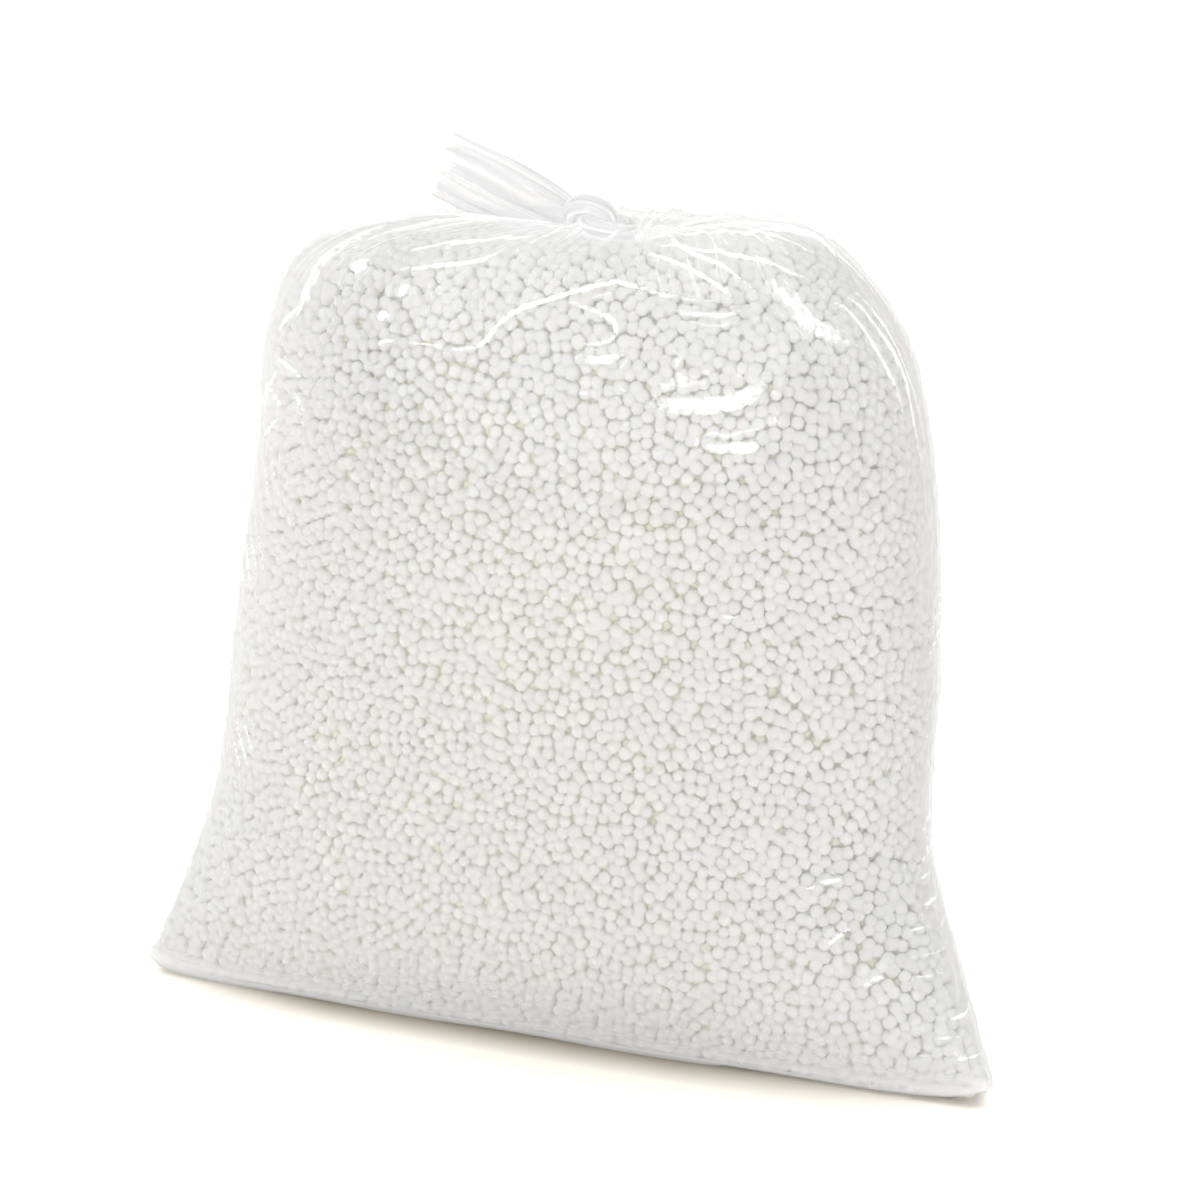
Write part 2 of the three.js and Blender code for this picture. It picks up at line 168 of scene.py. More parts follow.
def random_value(tree, kind, low, high, seed):
    """Output of a Random Value node for numbers (FLOAT) or vectors (FLOAT_VECTOR)."""
    node = add(tree, "FunctionNodeRandomValue", data_type=kind)
    ending = "_001" if kind == "FLOAT" else ""
    by_identifier = {socket.identifier: socket for socket in node.inputs}
    by_identifier["Min" + ending].default_value = low
    by_identifier["Max" + ending].default_value = high
    by_identifier["Seed"].default_value = seed
    return next(socket for socket in node.outputs if socket.identifier == "Value" + ending)


def ramp(tree, value, low, high, start=0.0, end=1.0):
    """Output of a Map Range node that runs from start at low to end at high."""
    return add(tree, "ShaderNodeMapRange", {
        "Value": value, "From Min": low, "From Max": high, "To Min": start, "To Max": end}).outputs[0]


def mixed(tree, factor, first, second):
    """A Mix Shader node between two shaders."""
    return add(tree, "ShaderNodeMixShader", {0: factor, 1: first.outputs[0], 2: second.outputs[0]})


def noise(tree, vector, scale, detail, **more):
    """Value of a Noise Texture node."""
    links = {"Vector": vector, "Scale": scale, "Detail": detail, **more}
    return add(tree, "ShaderNodeTexNoise", links).outputs["Fac"]


def stored(tree, name, kind):
    """Output of a Named Attribute node."""
    node = add(tree, "GeometryNodeInputNamedAttribute", {"Name": name}, data_type=kind)
    return node.outputs["Attribute"]


def new_group(name, kind, inputs, outputs):
    """A node group with named sockets, its input node and its output node."""
    tree = bpy.data.node_groups.new(name, kind)
    for label, socket_type, default in inputs:
        socket = tree.interface.new_socket(label, in_out="INPUT", socket_type=socket_type)
        if default is not None:
            socket.default_value = default
    for label, socket_type in outputs:
        tree.interface.new_socket(label, in_out="OUTPUT", socket_type=socket_type)
    return tree, tree.nodes.new("NodeGroupInput"), tree.nodes.new("NodeGroupOutput")


def new_material(name):
    """An empty node material and its tree."""
    material = bpy.data.materials.new(name)
    material.use_nodes = True
    material.node_tree.nodes.clear()
    return material, material.node_tree


def finish_material(tree, shader):
    """Links the shader to the material's output."""
    output = tree.nodes.new("ShaderNodeOutputMaterial")
    tree.links.new(shader.outputs[0], output.inputs["Surface"])


# Shape of the filled bag, in millimetres before it is centred: height, place across, half width, reach to
# front and back, place of the side fold, rise of the ears, squareness of the front and back halves
WELD = (4, 4, 192, 62, 72, -58, 6, 2.6, 1.7)
FOOT = (0, 4, 164, 52, 56, -48, 0, 2.6, 1.7)
HIP = (37, 1.2, 179.5, 75, 84, -43.5, 0, 2.2, 1.9)
WAIST = (85, -3.5, 163, 79, 83, -20.3, 0, 2.2, 2.1)
BELLY = (160, -2.5, 158, 80, 80, 0, 0, 2.2, 2.2)
CHEST = (243, 3, 146.5, 77, 77, 0, 0, 2.4, 2.4)
SHOULDER = (296, 0, 136, 66, 66, 0, 0, 2.6, 2.6)
BROW = (325, -3, 118.5, 54.5, 54.5, 0, 0, 2.4, 2.4)
CROWN = (338, 11, 86, 40.2, 33.8, -3.2, 0, 2.2, 2.2)
COLLAR = (339.5, 20.6, 36.5, 27.78, 5.32, -10.88, 0, 2.08, 2.08)
NECK = (333, 27, 3.5, 19.5, -12.5, -16, 0, 2, 2)
WALL_LEVELS = np.array([WELD, HIP, WAIST, BELLY, CHEST, SHOULDER, BROW, CROWN, COLLAR, NECK], float)
LAY_FLAT = 384.0
EAR_SHARPNESS = 14


def wall_stations():
    """Run of each level along the side outline, from the weld."""
    steps = np.hypot(np.diff(WALL_LEVELS[:, 0]), np.diff(WALL_LEVELS[:, 2]))
    return np.concatenate([[0.0], np.cumsum(steps)])


def spline(stations, values, at):
    """Smooth curve through the values; its slope at a station is the mean of the slopes on its two sides."""
    span = np.diff(stations)[:, None]
    slope = np.diff(values, axis=0) / span
    tangent = np.vstack([slope[:1], (slope[:-1] + slope[1:]) / 2, slope[-1:]])
    i = np.clip(np.searchsorted(stations, at, side="right") - 1, 0, len(stations) - 2)
    p = ((at - stations[i]) / span[i, 0])[:, None]
    start = (2 * p**3 - 3 * p**2 + 1) * values[i] + (p**3 - 2 * p**2 + p) * span[i] * tangent[i]
    end = (3 * p**2 - 2 * p**3) * values[i + 1] + (p**3 - p**2) * span[i] * tangent[i + 1]
    return start + end


def smooth_step(x, low, high):
    """0 below low, 1 above high, smooth between."""
    t = np.clip((x - low) / (high - low), 0.0, 1.0)
    return t * t * (3 - 2 * t)


def half_outlines(levels, front):
    """Outlines of the front or back panel at each level, from one side fold to the other."""
    z, side, half, reach_front, reach_back, fold, lift, square_front, square_back = (
        levels[:, i:i + 1] for i in range(9))
    angle = np.linspace(0, math.pi, 361)[None, :]
    across = -np.cos(angle) if front else np.cos(angle)
    along = np.clip(np.sin(angle), 0, 1)
    power = 2 / (square_front if front else square_back)
    reach = -(reach_front + fold) if front else reach_back - fold
    x = half * np.sign(across) * np.abs(across) ** power
    y = fold + reach * along**power
    height = z + lift * np.abs(x / half) ** EAR_SHARPNESS
    return np.stack([side + x, y, height], -1)


def spread(outlines, shares):
    """Points at even shares of each outline's length."""
    steps = np.linalg.norm(np.diff(outlines, axis=1), axis=2)
    run = np.concatenate([np.zeros((len(outlines), 1)), np.cumsum(steps, axis=1)], axis=1)
    points = np.empty((len(outlines), len(shares), 3))
    for row, line in enumerate(outlines):
        for axis in range(3):
            points[row, :, axis] = np.interp(shares * run[row, -1], run[row], line[:, axis])
    return points


def loft(levels, front_shares, back_shares):
    """Rings of points round the levels: the front panel from left to right, then the back panel."""
    front = spread(half_outlines(levels, True), front_shares)
    back = spread(half_outlines(levels, False), back_shares)
    return np.concatenate([front, back], axis=1)


def ring_lengths(rings):
    """Length of each closed ring."""
    return np.linalg.norm(np.roll(rings, -1, axis=1) - rings, axis=2).sum(axis=1)


def ring_normals(rings):
    """Outward normals of the surface that the rings make."""
    around = np.roll(rings, -1, axis=1) - np.roll(rings, 1, axis=1)
    up = np.gradient(rings, axis=0)
    normals = np.cross(around, up)
    return normals / np.maximum(np.linalg.norm(normals, axis=2, keepdims=True), 1e-9)


def bag_shift():
    """Move from the levels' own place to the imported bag's."""
    stations = wall_stations()
    shares = np.linspace(0, 1, 60)
    rings = loft(spline(stations, WALL_LEVELS, np.linspace(0, stations[-1], 120)), shares, shares)
    low, high = (np.array(corner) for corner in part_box("bag_film"))
    shift = (low + high) / 2 / MM - (rings.min(axis=(0, 1)) + rings.max(axis=(0, 1))) / 2
    return np.array([shift[0], shift[1], 0.0])


# Meshes

class SkinBuilder:
    """Collects rings of points and the faces between them."""

    def __init__(self):
        self.points = []
        self.faces = []
        self.uvs = []
        self.layers = []
        self.crease_glints = []
        self.count = 0

    def add_ring(self, ring, layers=1.0, crease_glints=0.0):
        """Adds a ring and returns the numbers of its points."""
        ids = np.arange(self.count, self.count + len(ring))
        self.points.append(np.asarray(ring, float))
        self.layers.append(np.broadcast_to(np.asarray(layers, float), (len(ring),)))
        self.crease_glints.append(np.broadcast_to(np.asarray(crease_glints, float), (len(ring),)))
        self.count += len(ring)
        return ids

    def join_even(self, lower, upper, girth, low_run, high_run):
        """Joins two rings of the same count by four-sided faces."""
        count = len(lower)
        after = (np.arange(count) + 1) % count
        faces = np.stack([lower, lower[after], upper[after], upper], axis=1)
        left = girth[:count]
        right = girth[1:count + 1]
        low = np.full(count, low_run)
        high = np.full(count, high_run)
        corners = np.stack([
            np.stack([left, low], 1), np.stack([right, low], 1),
            np.stack([right, high], 1), np.stack([left, high], 1)], axis=1)
        self.faces.extend(faces.tolist())
        self.uvs.extend(corners.reshape(-1, 2).tolist())

    def join_uneven(self, lower, upper, girth, low_run, high_run):
        """Joins two rings of different counts by triangles."""
        i = 0
        j = 0
        while i < len(lower) or j < len(upper):
            a = lower[i % len(lower)]
            b = upper[j % len(upper)]
            here = (girth * i / len(lower), low_run)
            there = (girth * j / len(upper), high_run)
            next_lower = (i + 1) / len(lower)
            next_upper = (j + 1) / len(upper)
            if i < len(lower) and (j == len(upper) or next_lower <= next_upper):
                self.faces.append([int(a), int(lower[(i + 1) % len(lower)]), int(b)])
                self.uvs.extend([here, (girth * next_lower, low_run), there])
                i += 1
            else:
                self.faces.append([int(a), int(upper[(j + 1) % len(upper)]), int(b)])
                self.uvs.extend([here, (girth * next_upper, high_run), there])
                j += 1

    def close(self, ring, centre, upwards):
        """Closes a ring with a fan of triangles."""
        hub = int(self.add_ring([centre])[0])
        count = len(ring)
        for i in range(count):
            a = int(ring[i])
            b = int(ring[(i + 1) % count])
            self.faces.append([a, b, hub] if upwards else [b, a, hub])
            self.uvs.extend([(0.0, 0.0), (1.0, 0.0), (0.5, 1.0)])

    def object(self, name, uv_name=None, film=False):
        """Makes the piece, in metres; film keeps its layers and its painted crease glints as attributes."""
        mesh = bpy.data.meshes.new(name)
        mesh.from_pydata((np.concatenate(self.points) * MM).tolist(), [], self.faces)
        if uv_name:
            mesh.uv_layers.new(name=uv_name).uv.foreach_set("vector", np.array(self.uvs).ravel() * MM)
        if film:
            for label, values in (("layers", self.layers), ("crease_and_glint", self.crease_glints)):
                attribute = mesh.attributes.new(label, "FLOAT", "POINT")
                attribute.data.foreach_set("value", np.concatenate(values))
        mesh.shade_smooth()
        mesh.update()
        return link_piece(name, mesh)


def link_piece(name, mesh):
    """Puts a mesh into the scene as a piece at the origin."""
    piece = bpy.data.objects.new(name, mesh)
    bpy.context.scene.collection.objects.link(piece)
    return piece


def hand_over(piece, node):
    """Attaches a piece to the root body and hides the part it takes the place of."""
    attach(piece, "root")
    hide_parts(node)


# Heap of beads

HEAP_TOP = 331.0
HEAP_COLUMNS = 60
PARTS = ("front_left", "front_right", "back_right", "back_left")


def heap_levels(inset):
    """Levels of the heap, inset from the film, with a low dome on top."""
    stations = wall_stations()
    run = np.linspace(0, stations[7], 60)
    levels = spline(stations, WALL_LEVELS, run)
    levels[:, 2] -= 1.7 * inset
    levels[:, 3:5] -= inset
    levels[:, 5] += inset / 2
    levels[:, 6] *= 0.5
    lowered = 0.95 * inset * smooth_step(run, stations[4], stations[6])
    levels[:, 0] = np.maximum(levels[:, 0], inset) - lowered
    crown = levels[-1].copy()
    dome = []
    for share in np.linspace(0.14, 0.97, 7):
        level = crown.copy()
        level[2:6] *= 1 - share
        level[0] += (HEAP_TOP - inset - crown[0]) * math.sin(share * math.pi / 2)
        dome.append(level)
    floor = levels[0].copy()
    floor[0] = inset
    floor[6] = 0
    base = []
    for share in (0.25, 0.5, 0.75, 0.93):
        level = floor.copy()
        middle = (floor[4] - floor[3]) / 2
        level[2] *= share
        level[3] = -middle + (floor[3] + middle) * share
        level[4] = middle + (floor[4] - middle) * share
        level[5] = middle + (floor[5] - middle) * share
        base.append(level)
    return np.vstack([base, levels, dome])


def heap_piece(name, inset):
    """Closed surface round the heap of beads, inset from the film."""
    skin = SkinBuilder()
    shares = np.linspace(0, 1, HEAP_COLUMNS, endpoint=False)
    rings = loft(heap_levels(inset), shares, shares) + bag_shift()
    girth = np.linspace(0, 2 * LAY_FLAT, 2 * HEAP_COLUMNS + 1)
    ids = [skin.add_ring(ring) for ring in rings]
    skin.close(ids[0], rings[0].mean(axis=0), False)
    for lower, upper in zip(ids, ids[1:]):
        skin.join_even(lower, upper, girth, 0, 1)
    skin.close(ids[-1], rings[-1].mean(axis=0) + (0, 0, 0.4), True)
    return skin.object(name)


def heap_part(places):
    """Part of the heap that each place is in: its number in PARTS."""
    fold = np.interp(places[:, 2] / MM, [0, 37, 85, 160], [-57, -44, -20, 0]) * MM
    right = places[:, 0] > 0
    back = places[:, 1] > fold
    return np.where(back, np.where(right, 2, 3), np.where(right, 1, 0))


def surface_samples(mesh, count, random):
    """Random points on a mesh, spread evenly by area, and the outward normals there."""
    mesh.calc_loop_triangles()
    corners = np.empty(3 * len(mesh.loop_triangles), np.int32)
    mesh.loop_triangles.foreach_get("vertices", corners)
    points = np.empty(3 * len(mesh.vertices))
    mesh.vertices.foreach_get("co", points)
    triangles = points.reshape(-1, 3)[corners.reshape(-1, 3)]
    cross = np.cross(triangles[:, 1] - triangles[:, 0], triangles[:, 2] - triangles[:, 0])
    double = np.linalg.norm(cross, axis=1)
    picked = random.choice(len(triangles), count, p=double / double.sum())
    root = np.sqrt(random.random(count))[:, None]
    other = random.random(count)[:, None]
    chosen = triangles[picked]
    places = chosen[:, 0] * (1 - root) + chosen[:, 1] * root * (1 - other) + chosen[:, 2] * root * other
    return places, (cross / np.maximum(double, 1e-12)[:, None])[picked]


def close_pairs(places, reach):
    """Numbers of each two places that lie in the same or neighbouring cells of a grid."""
    cells = np.floor(places / reach).astype(np.int64)
    cells -= cells.min(axis=0) - 1
    size = cells.max(axis=0) + 2
    key = (cells[:, 0] * size[1] + cells[:, 1]) * size[2] + cells[:, 2]
    order = np.argsort(key, kind="stable")
    in_order = key[order]
    first = []
    second = []
    offsets = [(x * size[1] + y) * size[2] + z for x in (-1, 0, 1) for y in (-1, 0, 1) for z in (-1, 0, 1)]
    for offset in offsets[:14]:
        start = np.searchsorted(in_order, key + offset, side="left")
        stop = np.searchsorted(in_order, key + offset, side="right")
        for step in range(int((stop - start).max())):
            here = np.nonzero(start + step < stop)[0]
            there = order[start[here] + step]
            kept = here < there if offset == 0 else np.ones(len(here), bool)
            first.append(here[kept])
            second.append(there[kept])
    first = np.concatenate(first)
    second = np.concatenate(second)
    near = np.linalg.norm(places[first] - places[second], axis=1) < reach
    return first[near], second[near]


class BeadPile:
    """Loose beads in a shell behind the film, pushed apart until they rest on one another and the film."""

    LAYERS = 2.1
    FULLNESS = 0.76

    def __init__(self, surface, settings):
        random = np.random.default_rng(settings.seed)
        self.diameter = settings.diameter
        self.depth = self.LAYERS * settings.diameter
        mesh = surface.data
        area = sum(face.area for face in mesh.polygons)
        count = int(self.FULLNESS * area * self.depth / (math.pi / 6 * settings.diameter**3))
        places, normals = surface_samples(mesh, count, random)
        deep = random.uniform(0.4, self.LAYERS - 0.4, (count, 1)) * settings.diameter
        self.places = places - normals * deep
        self.shape = random.choice(3, count, p=(0.6, 0.28, 0.12))
        self.size = np.clip(random.normal(1.0, settings.unevenness, count), 0.84, 1.18)
        self.radius = settings.diameter / 2 * self.size * np.array([1.0, 1.0, 1.07])[self.shape]
        self.wall = BVHTree.FromPolygons(
            [tuple(vertex.co) for vertex in mesh.vertices], [tuple(face.vertices) for face in mesh.polygons])

    def settle(self, rounds):
        """Pushes the beads apart, and holds them behind the film."""
        pairs = None
        for turn in range(rounds):
            if turn % 4 == 0:
                pairs = close_pairs(self.places, 1.3 * self.diameter)
            first, second = pairs
            apart = self.places[second] - self.places[first]
            distance = np.maximum(np.linalg.norm(apart, axis=1), 1e-7)
            overlap = self.radius[first] + self.radius[second] - distance
            push = apart * (0.42 * np.maximum(overlap, 0) / distance)[:, None]
            for axis in range(3):
                back = np.bincount(first, push[:, axis], len(self.places))
                on = np.bincount(second, push[:, axis], len(self.places))
                self.places[:, axis] += on - back
            self.hold()

    def hold(self):
        """Keeps every bead behind the film and within the depth of the shell; the first layer lies on the
        film.
        """
        hits = [self.wall.find_nearest(place)[:2] for place in self.places.tolist()]
        surface = np.array([hit[0] for hit in hits])
        normal = np.array([hit[1] for hit in hits])
        depth = np.einsum("ij,ij->i", surface - self.places, normal)
        pressed = np.where(depth < 1.25 * self.diameter, depth - 0.015 * self.diameter, depth)
        held = np.clip(pressed, self.radius, self.depth - 0.5 * self.radius)
        self.places = surface - normal * held[:, None]
        self.sunk = held - self.radius

    def points(self, name, chosen, part):
        """The chosen beads as loose points that carry each bead's shape, size and part of the heap."""
        mesh = bpy.data.meshes.new(name)
        mesh.from_pydata(self.places[chosen].tolist(), [], [])
        for label, kind, values in (
                ("shape", "INT", self.shape[chosen].astype(np.int32)),
                ("size", "FLOAT", self.size[chosen]),
                ("part", "INT", part[chosen].astype(np.int32))):
            mesh.attributes.new(label, kind, "POINT").data.foreach_set("value", values)
        return link_piece(name, mesh)


def bead_prototype(tree, radius, width, height, roundness, segments, rings):
    """A bead between a ball and a short rounded cylinder, as geometry."""
    ball = add(tree, "GeometryNodeMeshUVSphere", {"Segments": segments, "Rings": rings, "Radius": 1.0})
    axes = add(tree, "ShaderNodeSeparateXYZ", {0: add(tree, "GeometryNodeInputPosition").outputs[0]})
    x, y, z = axes.outputs
    square = math_node(tree, "ADD", math_node(tree, "MULTIPLY", x, x), math_node(tree, "MULTIPLY", y, y))
    reach = math_node(tree, "MAXIMUM", math_node(tree, "SQRT", square), 0.0001)
    wider = math_node(tree, "POWER", reach, roundness - 1.0)
    taller = math_node(tree, "POWER", math_node(tree, "ABSOLUTE", z), 0.9 * roundness)
    upright = math_node(tree, "MULTIPLY", math_node(tree, "SIGN", z), taller)
    shape = add(tree, "ShaderNodeCombineXYZ", {
        0: math_node(tree, "MULTIPLY", math_node(tree, "MULTIPLY", x, wider), width),
        1: math_node(tree, "MULTIPLY", math_node(tree, "MULTIPLY", y, wider), width),
        2: math_node(tree, "MULTIPLY", upright, height)})
    sized = vector_node(tree, "SCALE", shape.outputs[0], scale=radius)
    placed = add(tree, "GeometryNodeSetPosition", {"Geometry": ball.outputs[0], "Position": sized})
    return placed.outputs[0]


def bead_tree(name, segments, rings):
    """Geometry nodes that put a bead of one of three shapes on each place in one part of the heap."""
    tree, group_in, group_out = new_group(
        name, "GeometryNodeTree",
        [("Geometry", "NodeSocketGeometry", None),
         ("Diameter", "NodeSocketFloat", 0.006),
         ("Part From", "NodeSocketInt", 0),
         ("Part To", "NodeSocketInt", 3),
         ("Material", "NodeSocketMaterial", None)],
        [("Geometry", "NodeSocketGeometry")])
    part = stored(tree, "part", "INT")
    first = math_node(tree, "SUBTRACT", group_in.outputs["Part From"], 0.5)
    last = math_node(tree, "ADD", group_in.outputs["Part To"], 0.5)
    low = math_node(tree, "GREATER_THAN", part, first)
    high = math_node(tree, "LESS_THAN", part, last)
    inside = math_node(tree, "MULTIPLY", low, high)
    kept = add(tree, "GeometryNodeSeparateGeometry",
               {"Geometry": group_in.outputs["Geometry"], "Selection": inside})
    radius = math_node(tree, "MULTIPLY", group_in.outputs["Diameter"], 0.5)
    shapes = add(tree, "GeometryNodeGeometryToInstance")
    for width, height, roundness in ((1.0, 1.25, 0.55), (0.98, 1.0, 0.6), (1.04, 0.98, 0.9)):
        prototype = bead_prototype(tree, radius, width, height, roundness, segments, rings)
        tree.links.new(prototype, shapes.inputs[0])
    turn = add(tree, "FunctionNodeEulerToRotation",
               {0: random_value(tree, "FLOAT_VECTOR", (0.0,) * 3, (6.283,) * 3, 22)})
    uneven = random_value(tree, "FLOAT_VECTOR", (0.95,) * 3, (1.05,) * 3, 23)
    size = vector_node(tree, "SCALE", uneven, scale=stored(tree, "size", "FLOAT"))
    beads = add(tree, "GeometryNodeInstanceOnPoints", {
        "Points": kept.outputs[0], "Instance": shapes.outputs[0], "Pick Instance": True,
        "Instance Index": stored(tree, "shape", "INT"),
        "Rotation": turn.outputs[0], "Scale": size})
    tone = add(tree, "GeometryNodeStoreNamedAttribute", {
        "Geometry": beads.outputs[0], "Name": "tone", "Value": random_value(tree, "FLOAT", 0.0, 1.0, 24)},
        data_type="FLOAT", domain="INSTANCE")
    solid = add(tree, "GeometryNodeRealizeInstances", {"Geometry": tone.outputs[0]})
    smooth = add(tree, "GeometryNodeSetShadeSmooth", {"Geometry": solid.outputs[0]})
    painted = add(tree, "GeometryNodeSetMaterial",
                  {"Geometry": smooth.outputs[0], "Material": group_in.outputs["Material"]})
    tree.links.new(painted.outputs[0], group_out.inputs[0])
    return tree


def run_tree(name, base, tree, inputs):
    """Runs a geometry tree on a copy of the base piece and returns the result as a plain mesh."""
    carrier = link_piece(name + "_carrier", base.data)
    modifier = carrier.modifiers.new(tree.name, "NODES")
    modifier.node_group = tree
    for item in tree.interface.items_tree:
        if item.item_type == "SOCKET" and item.in_out == "INPUT" and item.name in inputs:
            modifier[item.identifier] = inputs[item.name]
    depsgraph = bpy.context.evaluated_depsgraph_get()
    mesh = bpy.data.meshes.new_from_object(carrier.evaluated_get(depsgraph), depsgraph=depsgraph)
    mesh.name = name
    bpy.data.objects.remove(carrier)
    if not mesh.vertices:
        raise RuntimeError(f"{tree.name} made nothing for {name}")
    return mesh


def foam_group():
    """Shader group for foam: a colour that differs from bead to bead, and the fine cells of its skin."""
    name = "Foam Skin"
    if name in bpy.data.node_groups:
        return bpy.data.node_groups[name]
    tree, group_in, group_out = new_group(
        name, "ShaderNodeTree",
        [("Colour", "NodeSocketColor", (0.93, 0.925, 0.885, 1.0)),
         ("Tone", "NodeSocketFloat", 0.5),
         ("Variation", "NodeSocketFloat", 0.05)],
        [("Colour", "NodeSocketColor"), ("Height", "NodeSocketFloat")])
    place = add(tree, "ShaderNodeTexCoord").outputs["Object"]
    cells = noise(tree, place, 1100.0, 0.0)
    shift = math_node(tree, "SUBTRACT", group_in.outputs["Tone"], 1.0)
    bright = math_node(tree, "MULTIPLY_ADD", shift, group_in.outputs["Variation"], 1.0)
    colour = vector_node(tree, "SCALE", group_in.outputs["Colour"], scale=bright)
    tree.links.new(colour, group_out.inputs["Colour"])
    tree.links.new(cells, group_out.inputs["Height"])
    return tree


def foam_material(name, colour, variation, through=0.4, cells=0.0):
    """Matte white foam that lets some of the light through; cells is the relief of its fine cells."""
    material, tree = new_material(name)
    tone = add(tree, "ShaderNodeAttribute", attribute_name="tone").outputs["Fac"]
    skin = add(tree, "ShaderNodeGroup", node_tree=foam_group())
    skin.inputs["Colour"].default_value = (*colour, 1.0)
    skin.inputs["Variation"].default_value = variation
    tree.links.new(tone, skin.inputs["Tone"])
    shader = add(tree, "ShaderNodeBsdfPrincipled", {
        "Base Color": skin.outputs["Colour"], "Roughness": 0.62, "IOR": 1.35, "Specular IOR Level": 0.3})
    if cells:
        bump = add(tree, "ShaderNodeBump",
                   {"Height": skin.outputs["Height"], "Strength": cells, "Distance": 0.0003})
        tree.links.new(bump.outputs[0], shader.inputs["Normal"])
    glow = add(tree, "ShaderNodeBsdfTranslucent", {"Color": skin.outputs["Colour"]})
    finish_material(tree, mixed(tree, through, shader, glow))
    return material


# Film

WALL_ROWS = 232
FRONT_COLUMNS = 256
BACK_COLUMNS = 112
STRAND_COLUMNS = 64
TAIL_COLUMNS = 160


def fold_finer(count):
    """Shares across a panel that lie closer together near its two side folds."""
    t = np.linspace(0, 1, count, endpoint=False)
    return t - 0.5 * np.sin(2 * math.pi * t) / (2 * math.pi)


# How far from a fold's crest its painted pale glint line fades out, in millimetres
GLINT_LINE_REACH = 2.4

# Greatest height of a gather, in millimetres
GATHER_DEPTH = 3.3


class FilmWall:
    """The film from the weld up to the choke, as a grid of points round and up the bag."""

    def __init__(self, settings):
        self.random = np.random.default_rng(settings.seed)
        stations = wall_stations()
        self.length = stations[-1]
        shoulder = stations[5]
        rows = np.linspace(0, 1, WALL_ROWS)
        self.run = self.length * np.interp(rows, [0, 0.47, 1], [0, 0.6, 0.996])
        self.front = fold_finer(FRONT_COLUMNS)
        self.back = fold_finer(BACK_COLUMNS)
        self.shares = np.concatenate([self.front, self.back])
        self.levels = spline(stations, WALL_LEVELS, self.run)
        self.points = loft(self.levels, self.front, self.back)
        self.normals = ring_normals(self.points)
        self.ring = ring_lengths(self.points)
        self.girth = np.concatenate([self.front, 1 + self.back]) / 2
        self.out = np.zeros(self.points.shape[:2])
        # Strength of the painted pale glints on the film, partly the whitening of creased film
        self.mark = np.zeros(self.points.shape[:2])
        self.shoulder = shoulder
        self.slack = np.clip(1 - self.ring / (2 * LAY_FLAT), 0, 1)

    def gather(self, count):
        """Folds that run in to the choke, one after another round the bag, each with a painted pale glint
        along its crest.
        """
        pitch = self.ring / count
        for k in range(count):
            middle = (k + 0.5 + self.random.uniform(-0.38, 0.38)) / count
            drift = self.random.uniform(-0.012, 0.012)
            start = self.shoulder + self.random.uniform(-14, 52)
            full = start + self.random.uniform(30, 70)
            strength = self.random.uniform(0.35, 1.0)
            slim = self.random.uniform(0.2, 0.34)
            bend = drift * np.sin((self.run - start) / 38.0)
            apart = self.girth[None, :] - middle - bend[:, None]
            apart = (apart + 0.5) % 1.0 - 0.5
            distance = np.abs(apart) * self.ring[:, None]
            width = np.clip(slim * pitch, 0.25, 3.2)
            grown = smooth_step(self.run, start, full)
            height = strength * np.minimum(0.36 * pitch, GATHER_DEPTH) * grown
            self.out += height[:, None] * np.exp(-((distance / width[:, None]) ** 1.4))
            # Painted pale glint along the gather's crest
            line = (0.35 + 0.5 * strength) * grown[:, None] * np.maximum(1 - distance / GLINT_LINE_REACH, 0)
            self.mark = np.maximum(self.mark, line)

    def place(self, shares, runs):
        """Points of the smooth wall at shares across (0 to 1 front, 1 to 2 back) and runs up."""
        row = np.interp(runs, self.run, np.arange(len(self.run)))
        low = np.clip(row.astype(int), 0, len(self.run) - 2)
        up = (row - low)[:, None]
        columns = np.concatenate([self.girth, [1.0]])
        column = np.interp((np.asarray(shares) / 2) % 1.0, columns, np.arange(len(columns)))
        left = np.minimum(column.astype(int), len(self.girth) - 1)
        right = (left + 1) % len(self.girth)
        over = (column - left)[:, None]
        below = self.points[low, left] * (1 - over) + self.points[low, right] * over
        above = self.points[low + 1, left] * (1 - over) + self.points[low + 1, right] * over
        return below * (1 - up) + above * up

    def crease_and_glint(self, corners, height, above, below, sharpness=1.3, white=0.95, fill=0.0):
        """One fold along a line from left to right: steep on one side, easy on the other, with a painted
        pale crest.

        The pale line along the crest, as strong as white, is a painted highlight, partly the whitening of
        creased film. The facet above the line can be painted paler than the film round it, a painted
        highlight too, by the share that fill gives.
        """
        corners = np.array(corners, float)
        steps = np.linspace(0, len(corners) - 1, 8 * (len(corners) - 1) + 1)
        line = spline(np.arange(len(corners), dtype=float), corners, steps)
        path = self.place(line[:, 0], line[:, 1])
        reach = 2.6 * max(above, below)
        low = path.min(axis=0) - reach
        high = path.max(axis=0) + reach
        near = np.all((self.points > low) & (self.points < high), axis=2)
        points = self.points[near]
        normals = self.normals[near]
        best = np.full(len(points), np.inf)
        side = np.zeros(len(points))
        place = np.zeros(len(points))
        for i in range(len(path) - 1):
            way = path[i + 1] - path[i]
            length = max(float(way.dot(way)), 1e-9)
            along = np.clip((points - path[i]) @ way / length, 0, 1)
            apart = points - path[i] - along[:, None] * way
            distance = np.linalg.norm(apart, axis=1)
            closer = distance < best
            best = np.where(closer, distance, best)
            upper = np.einsum("ij,ij->i", np.cross(normals, way), apart)
            side = np.where(closer, upper, side)
            place = np.where(closer, (i + along) / (len(path) - 1), place)
        width = np.where(side > 0, above, below)
        ends = np.sin(math.pi * np.clip(place, 0, 1)) ** 0.6
        self.out[near] += height * ends * np.exp(-((best / width) ** sharpness))
